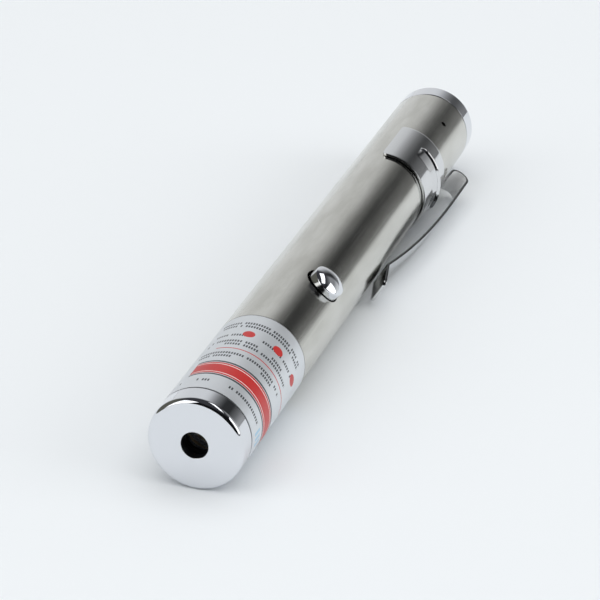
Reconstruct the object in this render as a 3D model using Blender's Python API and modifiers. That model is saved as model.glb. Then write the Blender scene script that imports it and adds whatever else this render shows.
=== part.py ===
"""Pen-shaped laser pointer with a push button, a pocket clip and a screwed tail cap.

The pen lies along Y, its beam leaving towards -Y, with the clip on the +X side.
Places along the pen are measured from its front face, and heights from its axis.
Lengths are in metres.
"""

import math

import bmesh
import bpy
from mathutils import Matrix, Vector

PART_NAME = "laser_pointer"

# Pen body
BODY_RADIUS = 0.0070
TUBE_WALL = 0.0007
RIM_ROUND = 0.0008

# Clearances
SEAT_GAP = 0.0003
FOIL_GAP = 0.00013
PIN_GAP = 0.0001
BAND_GAP = 0.0001
JOINT_LINE = 0.00025
FLOOR_GAP = 0.00002
CUT_OVERRUN = 0.0005
WELD_DISTANCE = 0.000001

# Front cap
CAP_SKIRT = 0.0036
CAP_FACE_WALL = 0.0013
CAP_SPIGOT_LENGTH = 0.0050
CAP_SPIGOT_WALL = 0.0014
APERTURE_RADIUS = 0.0020

# Label sleeve round the front of the tube
LABEL_LENGTH = 0.02305
LABEL_THICKNESS = 0.00012

# Laser module
NOSE_WALL = 0.0008
WEB_PLACE = 0.0140
WEB_LENGTH = 0.0025
FLANGE_WELL_RADIUS = 0.0031
FLANGE_WELL_DEPTH = 0.0048
LENS_RING_LENGTH = 0.0010
LENS_RING_RIM = 0.0011
LENS_EDGE = 0.0008
LENS_CROWN = 0.0009
LENS_RIM = 0.0005
LENS_SPRING_WIRE = 0.0004
DIODE_CAN_RADIUS = 0.0018
DIODE_CAN_LENGTH = 0.0023
DIODE_FLANGE_LENGTH = 0.0012
DIODE_PIN_RADIUS = 0.000225
DIODE_PIN_LENGTH = 0.0060
DIODE_PIN_SPREAD = 0.0008

# Driver board and what is soldered on it
BOARD_LENGTH = 0.0252
BOARD_THICKNESS = 0.0010
CHIP_LENGTH = 0.0050
CHIP_WIDTH = 0.0040
CHIP_HEIGHT = 0.0015
TRIMMER_SIDE = 0.0032
TRIMMER_HEIGHT = 0.0012
TRIMMER_ROTOR_RADIUS = 0.0010
TRIMMER_ROTOR_RISE = 0.0003
TRIMMER_SLOT_WIDTH = 0.0004
RESISTOR_LENGTH = 0.0020
RESISTOR_WIDTH = 0.0013
RESISTOR_HEIGHT = 0.0005
RESISTOR_PITCH = 0.0032
CAPACITOR_LENGTH = 0.0035
CAPACITOR_WIDTH = 0.0022
CAPACITOR_HEIGHT = 0.0016
SMALL_ROUND = 0.00015
RESISTOR_PLACE_SHARE = 0.20
CHIP_PLACE_SHARE = 0.50
TRIMMER_PLACE_SHARE = 0.84

# Button and the switch under it
BUTTON_ANGLE = math.radians(46.7)
BUTTON_INSET = 0.0033
BUTTON_RADIUS = 0.00265
BUTTON_PROUD = 0.0019
BUTTON_DOME = 0.0009
BUTTON_FLANGE_SPREAD = 0.00075
BUTTON_FLANGE_THICKNESS = 0.0008
SWITCH_SIDE = 0.0045
SWITCH_HEIGHT = 0.0022
SWITCH_FLOOR = 0.0005
PLUNGER_RADIUS = 0.00125
PLUNGER_PROUD = 0.0011
PLUNGER_SUNK = 0.0007
DOME_THICKNESS = 0.00012
DOME_CROWN = 0.00025
TERMINAL_LENGTH = 0.0008
TERMINAL_WIDTH = 0.0010
TERMINAL_THICKNESS = 0.00025
TERMINAL_PITCH = 0.0026

# Battery contact at the end of the board
CARRIER_LENGTH = 0.0008
CONTACT_SHANK_RADIUS = 0.0021
CONTACT_HEAD_RADIUS = 0.0034
CONTACT_HEAD_LENGTH = 0.0004

# Cells
CELL_GAP = 0.0004
CELL_LENGTH = 0.0298
CELL_NUB_RADIUS = 0.0019
CELL_NUB_LENGTH = 0.0010
CELL_ROUND = 0.0005
CELL_COUNT = 2

# Threaded insert, its pin, and the tail cap
INSERT_LENGTH = 0.0077
INSERT_WALL = 0.0009
PIN_INSET = 0.0012
PIN_RADIUS = 0.0004
PIN_SUNK = 0.0004
THREAD_PITCH = 0.00075
THREAD_TURNS = 6
SPIGOT_WALL = 0.0008
TAIL_CAP_SKIRT = 0.0039
TAIL_END_WALL = 0.0021
TAIL_SPRING_WIRE = 0.0005
TAIL_SPRING_TAPER = 0.00105

# Clip
CLIP_SHEET = 0.0004
BAND_INSET = 0.01665
BAND_WIDTH = 0.0121
BAND_WRAP = math.radians(243)
RIB_INSET = 0.0047
RIB_WIDTH = 0.0032
RIB_HEIGHT = 0.00045
RIB_ROUND = 0.0002
RIB_REACH = math.radians(83)
STRIP_WIDTH = 0.0044
TONGUE_LENGTH = 0.0056
TONGUE_LIFT = 0.00005
TURN_RADIUS = 0.00155
TURN_SPLIT = 0.0003
ARM_LENGTH = 0.0390
ARM_BEND_SHARES = (0.31, 0.64)
ARM_DROP_SHARES = (0.04, 0.03)
TIP_LENGTH = 0.0055
TIP_FLARE = 0.0013

# Facets and turns
TURN_STEPS = 48
SMALL_STEPS = 24
PIN_STEPS = 12
ROUND_STEPS = 4
DOME_STEPS = 6
COIL_POINTS = 10
LENS_SPRING_TURNS = 4
TAIL_SPRING_TURNS = 5
BAND_STEPS = 14
TONGUE_STEPS = 4
ARM_STEPS = 14
SHARP_ANGLE = math.radians(35)

# Front end, worked out from the sizes above
BORE_RADIUS = BODY_RADIUS - TUBE_WALL
SEATED_RADIUS = BORE_RADIUS - SEAT_GAP
TUBE_START = CAP_SKIRT + JOINT_LINE
LABEL_END = TUBE_START + LABEL_LENGTH
LABEL_BORE = BODY_RADIUS - LABEL_THICKNESS
CAP_END = CAP_SKIRT + CAP_SPIGOT_LENGTH
LENS_WELL_RADIUS = SEATED_RADIUS - CAP_SPIGOT_WALL
NOSE_START = CAP_FACE_WALL + SEAT_GAP
NOSE_RADIUS = LENS_WELL_RADIUS - SEAT_GAP
NOSE_BORE_RADIUS = NOSE_RADIUS - NOSE_WALL
HOUSING_START = CAP_END + SEAT_GAP
WEB_END = WEB_PLACE + WEB_LENGTH
HOUSING_END = WEB_END + FLANGE_WELL_DEPTH
LENS_RADIUS = NOSE_BORE_RADIUS - SEAT_GAP
LENS_RING_START = NOSE_START + SEAT_GAP
LENS_START = LENS_RING_START + LENS_RING_LENGTH + SEAT_GAP
LENS_SEAT = LENS_START + LENS_EDGE
DIODE_FLANGE_START = WEB_END + SEAT_GAP
DIODE_FLANGE_END = DIODE_FLANGE_START + DIODE_FLANGE_LENGTH
DIODE_FLANGE_RADIUS = FLANGE_WELL_RADIUS - SEAT_GAP

# Board, switch and button, stacked down from the foot of the button
BOARD_START = HOUSING_END + SEAT_GAP
BOARD_END = BOARD_START + BOARD_LENGTH
BUTTON_PLACE = BOARD_END - BUTTON_INSET
FREE_BOARD = BUTTON_PLACE - SWITCH_SIDE / 2 - BOARD_START
FLANGE_RADIUS = BUTTON_RADIUS + BUTTON_FLANGE_SPREAD
FLANGE_TOP = math.sqrt(BORE_RADIUS ** 2 - FLANGE_RADIUS ** 2) - SEAT_GAP
FLANGE_BOTTOM = FLANGE_TOP - BUTTON_FLANGE_THICKNESS
PLUNGER_TOP = FLANGE_BOTTOM - SEAT_GAP
SWITCH_TOP = PLUNGER_TOP - PLUNGER_PROUD
SWITCH_WELL_RADIUS = PLUNGER_RADIUS + SEAT_GAP
PART_SEAT = SWITCH_TOP - SWITCH_HEIGHT
BOARD_TOP = PART_SEAT - SEAT_GAP
BOARD_BOTTOM = BOARD_TOP - BOARD_THICKNESS
BOARD_FARTHEST = max(abs(BOARD_TOP), abs(BOARD_BOTTOM))

# Battery contact, cells, insert and tail
CARRIER_START = BOARD_END + SEAT_GAP
CARRIER_END = CARRIER_START + CARRIER_LENGTH
CONTACT_HEAD_START = CARRIER_END + SEAT_GAP
CONTACT_END = CONTACT_HEAD_START + CONTACT_HEAD_LENGTH
CELL_RADIUS = BORE_RADIUS - CELL_GAP
CELL_PITCH = CELL_LENGTH + SEAT_GAP
CELLS_END = CONTACT_END + CELL_COUNT * CELL_PITCH
INSERT_START = CELLS_END + SEAT_GAP
INSERT_END = INSERT_START + INSERT_LENGTH
INSERT_BORE = SEATED_RADIUS - INSERT_WALL
PIN_PLACE = INSERT_START + PIN_INSET
SPIGOT_RADIUS = INSERT_BORE - SEAT_GAP
SPIGOT_BORE = SPIGOT_RADIUS - SPIGOT_WALL
SPIGOT_START = INSERT_END - THREAD_PITCH * THREAD_TURNS
RING_RADIUS = (BORE_RADIUS - SPIGOT_RADIUS) / 2 - SEAT_GAP
RING_PLACE = INSERT_END + SEAT_GAP + RING_RADIUS
TAIL_CAP_START = RING_PLACE + RING_RADIUS + SEAT_GAP
TUBE_END = TAIL_CAP_START - JOINT_LINE
BODY_LENGTH = TAIL_CAP_START + TAIL_CAP_SKIRT
TAIL_FLOOR = BODY_LENGTH - TAIL_END_WALL

# Clip
BAND_BORE = BODY_RADIUS + BAND_GAP
BAND_MIDDLE = BAND_BORE + CLIP_SHEET / 2
BAND_RADIUS = BAND_BORE + CLIP_SHEET
BAND_END = TUBE_END - BAND_INSET
BAND_START = BAND_END - BAND_WIDTH
RIB_START = BAND_START + RIB_INSET
TURN_PLACE = BAND_END + TONGUE_LENGTH
INNER_LEG_HEIGHT = BAND_MIDDLE + TONGUE_LIFT
TURN_HEIGHT = INNER_LEG_HEIGHT + TURN_RADIUS
KINK_HEIGHT = BODY_RADIUS + SEAT_GAP + CLIP_SHEET / 2
CLIP_REACH = TURN_HEIGHT + TURN_RADIUS + CLIP_SHEET / 2
TONGUE_HALF_ANGLE = math.asin(STRIP_WIDTH / 2 / BAND_MIDDLE)
HALF_SPLIT_ANGLE = TURN_SPLIT / 2 / TURN_RADIUS

# The pen lies on its clip band, and the clip's lower corner just clears the surface
CLIP_ANGLE = math.atan2(STRIP_WIDTH / 2, CLIP_REACH) - math.asin(
    (BAND_RADIUS - FLOOR_GAP) / math.hypot(CLIP_REACH, STRIP_WIDTH / 2))
CLIP_SIDE = CLIP_REACH * math.cos(CLIP_ANGLE) - STRIP_WIDTH / 2 * math.sin(CLIP_ANGLE)

# The origin is on the surface, under the middle of the bounding box
AXIS_POINT = ((BODY_RADIUS - CLIP_SIDE) / 2, -BODY_LENGTH / 2, BAND_RADIUS)


# Scene, materials and frames


def clear_scene():
    """Remove every object that the file opens with."""
    for thing in list(bpy.data.objects):
        bpy.data.objects.remove(thing, do_unlink=True)


def new_collection(name):
    """Return a new collection under the scene's own."""
    collection = bpy.data.collections.new(name)
    bpy.context.scene.collection.children.link(collection)
    return collection


def new_material(name, colour, roughness, metallic=0.0):
    """Return a Principled material with plain values."""
    material = bpy.data.materials.new(name)
    material.use_nodes = True
    shader = material.node_tree.nodes["Principled BSDF"]
    shader.inputs["Base Color"].default_value = (*colour, 1.0)
    shader.inputs["Roughness"].default_value = roughness
    shader.inputs["Metallic"].default_value = metallic
    return material


def radial(angle):
    """Return the way out of the pen at an angle above +X, in the axis frame."""
    return Vector((math.cos(angle), -math.sin(angle), 0))


def frame(x_axis, y_axis, origin):
    """Return the matrix of a right-handed frame from two axes and its origin."""
    z_axis = x_axis.cross(y_axis)
    matrix = Matrix((x_axis, y_axis, z_axis)).transposed().to_4x4()
    matrix.translation = origin
    return matrix


def add_empty(name, parent, matrix):
    """Add an empty that carries pieces, at a matrix local to its parent."""
    empty = bpy.data.objects.new(name, None)
    PARTS.objects.link(empty)
    empty.parent = parent
    empty.location = matrix.to_translation()
    empty.rotation_euler = matrix.to_euler()
    empty.empty_display_size = BODY_RADIUS
    return empty


# Shapes


def add_object(name, mesh, parent, material=None):
    """Link a mesh as a piece, or as a cutter when it has no material."""
    thing = bpy.data.objects.new(name, mesh)
    thing.parent = parent
    if material is None:
        CUTTERS.objects.link(thing)
        thing.hide_render = True
        thing.display_type = "WIRE"
    else:
        PARTS.objects.link(thing)
        mesh.materials.append(material)
    return thing


def mesh_from(shape, name):
    """Write a bmesh to a new mesh, free it and return the mesh."""
    mesh = bpy.data.meshes.new(name)
    shape.to_mesh(mesh)
    shape.free()
    return mesh


def smooth(mesh):
    """Shade round surfaces smooth and keep the edges between them crisp."""
    mesh.shade_smooth()
    mesh.set_sharp_from_angle(angle=SHARP_ANGLE)


def bake(thing):
    """Return an object's evaluated mesh, welded, facing out and shaded."""
    bpy.context.view_layer.update()
    graph = bpy.context.evaluated_depsgraph_get()
    mesh = bpy.data.meshes.new_from_object(thing.evaluated_get(graph))
    shape = bmesh.new()
    shape.from_mesh(mesh)
    bmesh.ops.remove_doubles(shape, verts=shape.verts, dist=WELD_DISTANCE)
    bmesh.ops.recalc_face_normals(shape, faces=shape.faces)
    shape.to_mesh(mesh)
    shape.free()
    smooth(mesh)
    return mesh


def turned(name, profile, parent, material=None, steps=TURN_STEPS):
    """Make a turned piece from (radius, place) points along its frame's Z axis.

    The points run down the outer side, from the highest place to the lowest,
    and back up the bore where there is one.
    """
    shape = bmesh.new()
    corners = [shape.verts.new((radius, 0, place)) for radius, place in profile]
    for first, second in zip(corners, corners[1:]):
        shape.edges.new((first, second))
    if profile[0][0] > 0:
        shape.edges.new((corners[-1], corners[0]))
    thing = add_object(name, mesh_from(shape, name), parent, material)
    turn = thing.modifiers.new("turn", "SCREW")
    turn.axis = "Z"
    turn.steps = steps
    turn.render_steps = steps
    turn.use_merge_vertices = True
    turn.merge_threshold = WELD_DISTANCE
    thing.data = bake(thing)
    thing.modifiers.clear()
    return thing


def arc(radius, place, size, start, end, steps=ROUND_STEPS):
    """Return profile points on an arc round (radius, place)."""
    points = []
    for step in range(steps + 1):
        angle = start + (end - start) * step / steps
        points.append((radius + size * math.cos(angle), place + size * math.sin(angle)))
    return points


def dome(edge_radius, edge_place, rise):
    """Return profile points of a domed top, from its middle to its edge."""
    size = (edge_radius ** 2 + rise ** 2) / (2 * rise)
    reach = math.asin(edge_radius / size)
    points = [(0, edge_place + rise)]
    for step in range(1, DOME_STEPS + 1):
        angle = reach * step / DOME_STEPS
        points.append((size * math.sin(angle), edge_place + rise - size * (1 - math.cos(angle))))
    return points


def block(name, size, centre, parent, material=None, rounding=0):
    """Make a box with rounded edges, its middle at a point of its frame."""
    shape = bmesh.new()
    bmesh.ops.create_cube(shape, size=1)
    bmesh.ops.scale(shape, vec=size, verts=shape.verts)
    thing = add_object(name, mesh_from(shape, name), parent, material)
    thing.location = centre
    if rounding:
        bevel = thing.modifiers.new("rounded_edges", "BEVEL")
        bevel.width = rounding
        bevel.segments = 1
    return thing


def prism(name, outline, thickness, parent, material=None):
    """Make a flat piece from an outline in its frame's XY plane."""
    curve = bpy.data.curves.new(name, "CURVE")
    curve.dimensions = "2D"
    curve.fill_mode = "BOTH"
    curve.extrude = thickness / 2
    spline = curve.splines.new("POLY")
    spline.points.add(len(outline) - 1)
    for point, (x, y) in zip(spline.points, outline):
        point.co = (x, y, 0, 1)
    spline.use_cyclic_u = True
    drawing = bpy.data.objects.new(name + "_outline", curve)
    PARTS.objects.link(drawing)
    mesh = bake(drawing)
    mesh.materials.clear()
    bpy.data.objects.remove(drawing)
    return add_object(name, mesh, parent, material)


def coil(name, start, end, start_radius, end_radius, wire, turns, parent, material):
    """Make a coil spring along its frame's Z axis, as one tube."""
    curve = bpy.data.curves.new(name, "CURVE")
    curve.dimensions = "3D"
    curve.bevel_depth = wire / 2
    curve.bevel_resolution = 1
    curve.use_fill_caps = True
    spline = curve.splines.new("POLY")
    count = turns * COIL_POINTS
    spline.points.add(count)
    for step, point in enumerate(spline.points):
        share = step / count
        angle = 2 * math.pi * turns * share
        radius = start_radius + (end_radius - start_radius) * share
        point.co = (radius * math.cos(angle), radius * math.sin(angle), start + (end - start) * share, 1)
    thing = bpy.data.objects.new(name, curve)
    PARTS.objects.link(thing)
    thing.parent = parent
    curve.materials.append(material)
    return thing


def boolean(thing, other, operation):
    """Join another shape to a piece, or cut it away."""
    modifier = thing.modifiers.new(other.name, "BOOLEAN")
    modifier.operation = operation
    modifier.solver = "EXACT"
    modifier.object = other


def cut(thing, cutter):
    """Cut a cutter's shape out of a piece."""
    boolean(thing, cutter, "DIFFERENCE")


def join(thing, other):
    """Join another shape to a piece."""
    boolean(thing, other, "UNION")


def rod(radius, start, end):
    """Return the profile of a plain round rod."""
    return [(0, end), (radius, end), (radius, start), (0, start)]


def tube(radius, bore, start, end):
    """Return the profile of a plain tube."""
    return [(radius, end), (radius, start), (bore, start), (bore, end)]


# Tube, front cap and label


def build_front_cap(axis):
    """Make the polished cap that screws into the front of the tube."""
    outside = [(SEATED_RADIUS, CAP_END), (SEATED_RADIUS, CAP_SKIRT), (BODY_RADIUS, CAP_SKIRT)]
    rim = arc(BODY_RADIUS - RIM_ROUND, RIM_ROUND, RIM_ROUND, 0, -math.pi / 2)
    inside = [(APERTURE_RADIUS, 0), (APERTURE_RADIUS, CAP_FACE_WALL),
              (LENS_WELL_RADIUS, CAP_FACE_WALL), (LENS_WELL_RADIUS, CAP_END)]
    turned("front_cap", outside + rim + inside, axis, CHROME)


def build_barrel(axis, button_axis, pin_axis):
    """Make the tube, with its label seat and the holes for the button and the pin."""
    shoulder = LABEL_END + FOIL_GAP
    seat_radius = LABEL_BORE - FOIL_GAP
    barrel = turned("barrel", [
        (BODY_RADIUS, TUBE_END), (BODY_RADIUS, shoulder), (seat_radius, shoulder),
        (seat_radius, TUBE_START), (BORE_RADIUS, TUBE_START), (BORE_RADIUS, TUBE_END)],
        axis, STEEL)
    hole_top = BODY_RADIUS + CUT_OVERRUN
    button_hole = turned("button_hole_cutter", rod(BUTTON_RADIUS + SEAT_GAP, FLANGE_BOTTOM, hole_top),
                         button_axis, steps=SMALL_STEPS)
    pin_hole = turned("pin_hole_cutter", rod(PIN_RADIUS + PIN_GAP, INSERT_BORE - CUT_OVERRUN, hole_top),
                      pin_axis, steps=PIN_STEPS)
    cut(barrel, button_hole)
    cut(barrel, pin_hole)
    return pin_hole


def build_label(axis):
    """Make the thin sleeve of printed foil in its seat round the tube."""
    turned("label_sleeve", tube(BODY_RADIUS, LABEL_BORE, TUBE_START, LABEL_END), axis, FOIL)


# Laser module


def build_module(axis, deck):
    """Make the brass housing and the lens, spring and diode inside it."""
    turned("module_housing", [
        (SEATED_RADIUS, HOUSING_END), (SEATED_RADIUS, HOUSING_START),
        (NOSE_RADIUS, HOUSING_START), (NOSE_RADIUS, NOSE_START),
        (NOSE_BORE_RADIUS, NOSE_START), (NOSE_BORE_RADIUS, WEB_PLACE),
        (DIODE_CAN_RADIUS + SEAT_GAP, WEB_PLACE), (DIODE_CAN_RADIUS + SEAT_GAP, WEB_END),
        (FLANGE_WELL_RADIUS, WEB_END), (FLANGE_WELL_RADIUS, HOUSING_END)], axis, BRASS)
    turned("lens_ring", tube(LENS_RADIUS, LENS_RADIUS - LENS_RING_RIM, LENS_RING_START,
                             LENS_RING_START + LENS_RING_LENGTH), axis, BLACKENED)
    turned("collimating_lens", dome(LENS_RADIUS - LENS_RIM, LENS_SEAT, LENS_CROWN) + [
        (LENS_RADIUS, LENS_SEAT), (LENS_RADIUS, LENS_START), (0, LENS_START)],
        axis, CLEAR, SMALL_STEPS)
    half_wire = LENS_SPRING_WIRE / 2
    coil("lens_spring", LENS_SEAT + SEAT_GAP + half_wire, WEB_PLACE - SEAT_GAP - half_wire,
         LENS_RADIUS - half_wire, LENS_RADIUS - half_wire, LENS_SPRING_WIRE, LENS_SPRING_TURNS,
         axis, SPRING)
    diode = turned("laser_diode", [
        (0, DIODE_FLANGE_END), (DIODE_FLANGE_RADIUS, DIODE_FLANGE_END),
        (DIODE_FLANGE_RADIUS, DIODE_FLANGE_START), (DIODE_CAN_RADIUS, DIODE_FLANGE_START),
        (DIODE_CAN_RADIUS, DIODE_FLANGE_START - DIODE_CAN_LENGTH),
        (0, DIODE_FLANGE_START - DIODE_CAN_LENGTH)], axis, GILT, SMALL_STEPS)
    upper = PART_SEAT + DIODE_PIN_RADIUS
    lower = BOARD_BOTTOM - SEAT_GAP - DIODE_PIN_RADIUS
    places = ((DIODE_PIN_SPREAD, upper), (-DIODE_PIN_SPREAD, upper), (0, lower))
    for number, (side, height) in enumerate(places, 1):
        pin = turned("diode_pin_%d" % number,
                     rod(DIODE_PIN_RADIUS, -CUT_OVERRUN, DIODE_PIN_LENGTH), deck, steps=PIN_STEPS)
        pin.location = (DIODE_FLANGE_END, side, height)
        pin.rotation_euler = (0, math.pi / 2, 0)
        join(diode, pin)


# Driver board


def build_board(deck):
    """Make the board, and the chip, trimmer, resistors and capacitor on it."""
    half_width = math.sqrt(SEATED_RADIUS ** 2 - BOARD_FARTHEST ** 2)
    half_tongue = math.sqrt(DIODE_FLANGE_RADIUS ** 2 - BOARD_FARTHEST ** 2)
    tongue_start = DIODE_FLANGE_END + SEAT_GAP
    outline = [(tongue_start, half_tongue), (BOARD_START, half_tongue), (BOARD_START, half_width),
               (BOARD_END, half_width), (BOARD_END, -half_width), (BOARD_START, -half_width),
               (BOARD_START, -half_tongue), (tongue_start, -half_tongue)]
    board = prism("driver_board", outline, BOARD_THICKNESS, deck, BOARD_GREEN)
    board.location.z = (BOARD_TOP + BOARD_BOTTOM) / 2

    chip_place = BOARD_START + FREE_BOARD * CHIP_PLACE_SHARE
    block("driver_chip", (CHIP_LENGTH, CHIP_WIDTH, CHIP_HEIGHT),
          (chip_place, 0, PART_SEAT + CHIP_HEIGHT / 2), deck, BLACK_RESIN, SMALL_ROUND)
    capacitor_side = CHIP_WIDTH / 2 + SEAT_GAP + CAPACITOR_WIDTH / 2
    block("capacitor", (CAPACITOR_LENGTH, CAPACITOR_WIDTH, CAPACITOR_HEIGHT),
          (chip_place, capacitor_side, PART_SEAT + CAPACITOR_HEIGHT / 2), deck, OCHRE_RESIN, SMALL_ROUND)
    build_resistors(deck)
    build_trimmer(deck)


def build_resistors(deck):
    """Make the row of three chip resistors."""
    place = BOARD_START + FREE_BOARD * RESISTOR_PLACE_SHARE
    for number, side in enumerate((-RESISTOR_PITCH, 0, RESISTOR_PITCH), 1):
        block("chip_resistor_%d" % number, (RESISTOR_LENGTH, RESISTOR_WIDTH, RESISTOR_HEIGHT),
              (place, side, PART_SEAT + RESISTOR_HEIGHT / 2), deck, BLACK_RESIN)


def build_trimmer(deck):
    """Make the current trimmer, with a slotted rotor standing on its body."""
    place = BOARD_START + FREE_BOARD * TRIMMER_PLACE_SHARE
    body_top = PART_SEAT + TRIMMER_HEIGHT
    rotor_top = body_top + TRIMMER_ROTOR_RISE
    trimmer = block("current_trimmer", (TRIMMER_SIDE, TRIMMER_SIDE, TRIMMER_HEIGHT),
                    (place, 0, PART_SEAT + TRIMMER_HEIGHT / 2), deck, WHITE_RESIN)
    rotor = turned("trimmer_rotor", rod(TRIMMER_ROTOR_RADIUS, body_top - TRIMMER_ROTOR_RISE, rotor_top),
                   deck, steps=SMALL_STEPS)
    rotor.location = (place, 0, 0)
    slot = block("trimmer_slot_cutter", (TRIMMER_SIDE, TRIMMER_SLOT_WIDTH, TRIMMER_ROTOR_RISE),
                 (place, 0, rotor_top), deck)
    join(trimmer, rotor)
    cut(trimmer, slot)


# Button and switch


def build_switch(deck, button_axis):
    """Make the switch on the board: body, terminals, snap dome and plunger."""
    body = block("switch_body", (SWITCH_SIDE, SWITCH_SIDE, SWITCH_HEIGHT),
                 (BUTTON_PLACE, 0, PART_SEAT + SWITCH_HEIGHT / 2), deck, BLACK_RESIN, SMALL_ROUND)
    well_floor = PART_SEAT + SWITCH_FLOOR
    well = turned("switch_well_cutter", rod(SWITCH_WELL_RADIUS, well_floor, SWITCH_TOP + CUT_OVERRUN),
                  button_axis, steps=SMALL_STEPS)
    cut(body, well)

    side = SWITCH_SIDE / 2 + SEAT_GAP + TERMINAL_LENGTH / 2
    number = 0
    for along in (-TERMINAL_PITCH / 2, TERMINAL_PITCH / 2):
        for across in (-side, side):
            number += 1
            block("switch_terminal_%d" % number, (TERMINAL_WIDTH, TERMINAL_LENGTH, TERMINAL_THICKNESS),
                  (BUTTON_PLACE + along, across, PART_SEAT + TERMINAL_THICKNESS / 2), deck, TIN)

    rim = well_floor + SEAT_GAP
    outer = dome(PLUNGER_RADIUS, rim + DOME_THICKNESS, DOME_CROWN)
    inner = dome(PLUNGER_RADIUS - DOME_THICKNESS, rim, DOME_CROWN)
    turned("snap_dome", outer + [(PLUNGER_RADIUS, rim)] + inner[::-1], button_axis, SPRING, SMALL_STEPS)
    turned("switch_plunger", rod(PLUNGER_RADIUS, SWITCH_TOP - PLUNGER_SUNK, PLUNGER_TOP),
           button_axis, BLACK_RESIN, SMALL_STEPS)


def build_button(button_axis):
    """Make the domed button, held in the tube by the flange at its foot."""
    crown = dome(BUTTON_RADIUS, BODY_RADIUS + BUTTON_PROUD - BUTTON_DOME, BUTTON_DOME)
    turned("button_cap", crown + [
        (BUTTON_RADIUS, FLANGE_TOP), (FLANGE_RADIUS, FLANGE_TOP),
        (FLANGE_RADIUS, FLANGE_BOTTOM), (0, FLANGE_BOTTOM)], button_axis, CHROME, SMALL_STEPS)


# Contact and cells


def build_contact(axis):
    """Make the front battery contact and the insulating disc that carries it."""
    turned("contact_carrier", tube(SEATED_RADIUS, CONTACT_SHANK_RADIUS + SEAT_GAP,
                                   CARRIER_START, CARRIER_END), axis, WHITE_RESIN)
    turned("front_contact", [
        (0, CONTACT_END), (CONTACT_HEAD_RADIUS, CONTACT_END), (CONTACT_HEAD_RADIUS, CONTACT_HEAD_START),
        (CONTACT_SHANK_RADIUS, CONTACT_HEAD_START), (CONTACT_SHANK_RADIUS, CARRIER_START),
        (0, CARRIER_START)], axis, TIN, SMALL_STEPS)


def build_cells(axis):
    """Make the row of cells, each with its nub towards the front."""
    for number in range(CELL_COUNT):
        start = CONTACT_END + SEAT_GAP + number * CELL_PITCH
        can_start = start + CELL_NUB_LENGTH
        end = start + CELL_LENGTH
        inner = CELL_RADIUS - CELL_ROUND
        foot = arc(inner, end - CELL_ROUND, CELL_ROUND, math.pi / 2, 0, 2)
        head = arc(inner, can_start + CELL_ROUND, CELL_ROUND, 0, -math.pi / 2, 2)
        nub = [(CELL_NUB_RADIUS, can_start), (CELL_NUB_RADIUS, start), (0, start)]
        turned("cell_%d" % (number + 1), [(0, end)] + foot + head + nub, axis, CELL_JACKET)


# Tail


def build_insert(axis, pin_axis, pin_hole):
    """Make the threaded insert at the tail and the pin that holds it in the tube."""
    insert = turned("tail_insert", tube(SEATED_RADIUS, INSERT_BORE, INSERT_START, INSERT_END), axis, BRASS)
    cut(insert, pin_hole)
    turned("insert_pin", rod(PIN_RADIUS, INSERT_BORE + PIN_GAP, BODY_RADIUS - PIN_SUNK),
           pin_axis, SPRING, PIN_STEPS)


def build_tail(axis):
    """Make the tail cap, its sealing ring and the spring that presses on the cells."""
    rim = arc(BODY_RADIUS - RIM_ROUND, BODY_LENGTH - RIM_ROUND, RIM_ROUND, math.pi / 2, 0)
    turned("tail_cap", [(0, BODY_LENGTH)] + rim + [
        (BODY_RADIUS, TAIL_CAP_START), (SPIGOT_RADIUS, TAIL_CAP_START), (SPIGOT_RADIUS, SPIGOT_START),
        (SPIGOT_BORE, SPIGOT_START), (SPIGOT_BORE, TAIL_FLOOR), (0, TAIL_FLOOR)], axis, CHROME)
    ring = arc((BORE_RADIUS + SPIGOT_RADIUS) / 2, RING_PLACE, RING_RADIUS,
               math.pi / 2, -3 * math.pi / 2, 2 * ROUND_STEPS)
    turned("tail_o_ring", ring[:-1], axis, RUBBER, SMALL_STEPS)
    half_wire = TAIL_SPRING_WIRE / 2
    seat_radius = SPIGOT_BORE - SEAT_GAP - half_wire
    coil("tail_spring", CELLS_END + SEAT_GAP + half_wire, TAIL_FLOOR - SEAT_GAP - half_wire,
         seat_radius - TAIL_SPRING_TAPER, seat_radius, TAIL_SPRING_WIRE, TAIL_SPRING_TURNS, axis, SPRING)


# Clip


def add_line(shape, points):
    """Add a line of edges through points to a bmesh, and return its edges."""
    corners = [shape.verts.new(point) for point in points]
    return [shape.edges.new(pair) for pair in zip(corners, corners[1:])]


def extrude(shape, edges):
    """Extrude edges where they are, and return the new edges and their ends."""
    made = bmesh.ops.extrude_edge_only(shape, edges=edges)["geom"]
    corners = {item for item in made if isinstance(item, bmesh.types.BMVert)}
    ahead = [item for item in made if isinstance(item, bmesh.types.BMEdge) and corners.issuperset(item.verts)]
    return ahead, list(corners)


def sheet_piece(name, shape, parent):
    """Make a piece of the clip from an open surface, as thick as its sheet."""
    bmesh.ops.recalc_face_normals(shape, faces=shape.faces)
    mesh = mesh_from(shape, name)
    smooth(mesh)
    thing = add_object(name, mesh, parent, POLISHED)
    wall = thing.modifiers.new("sheet", "SOLIDIFY")
    wall.thickness = CLIP_SHEET
    wall.offset = 0
    wall.use_even_offset = True
    return thing


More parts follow.
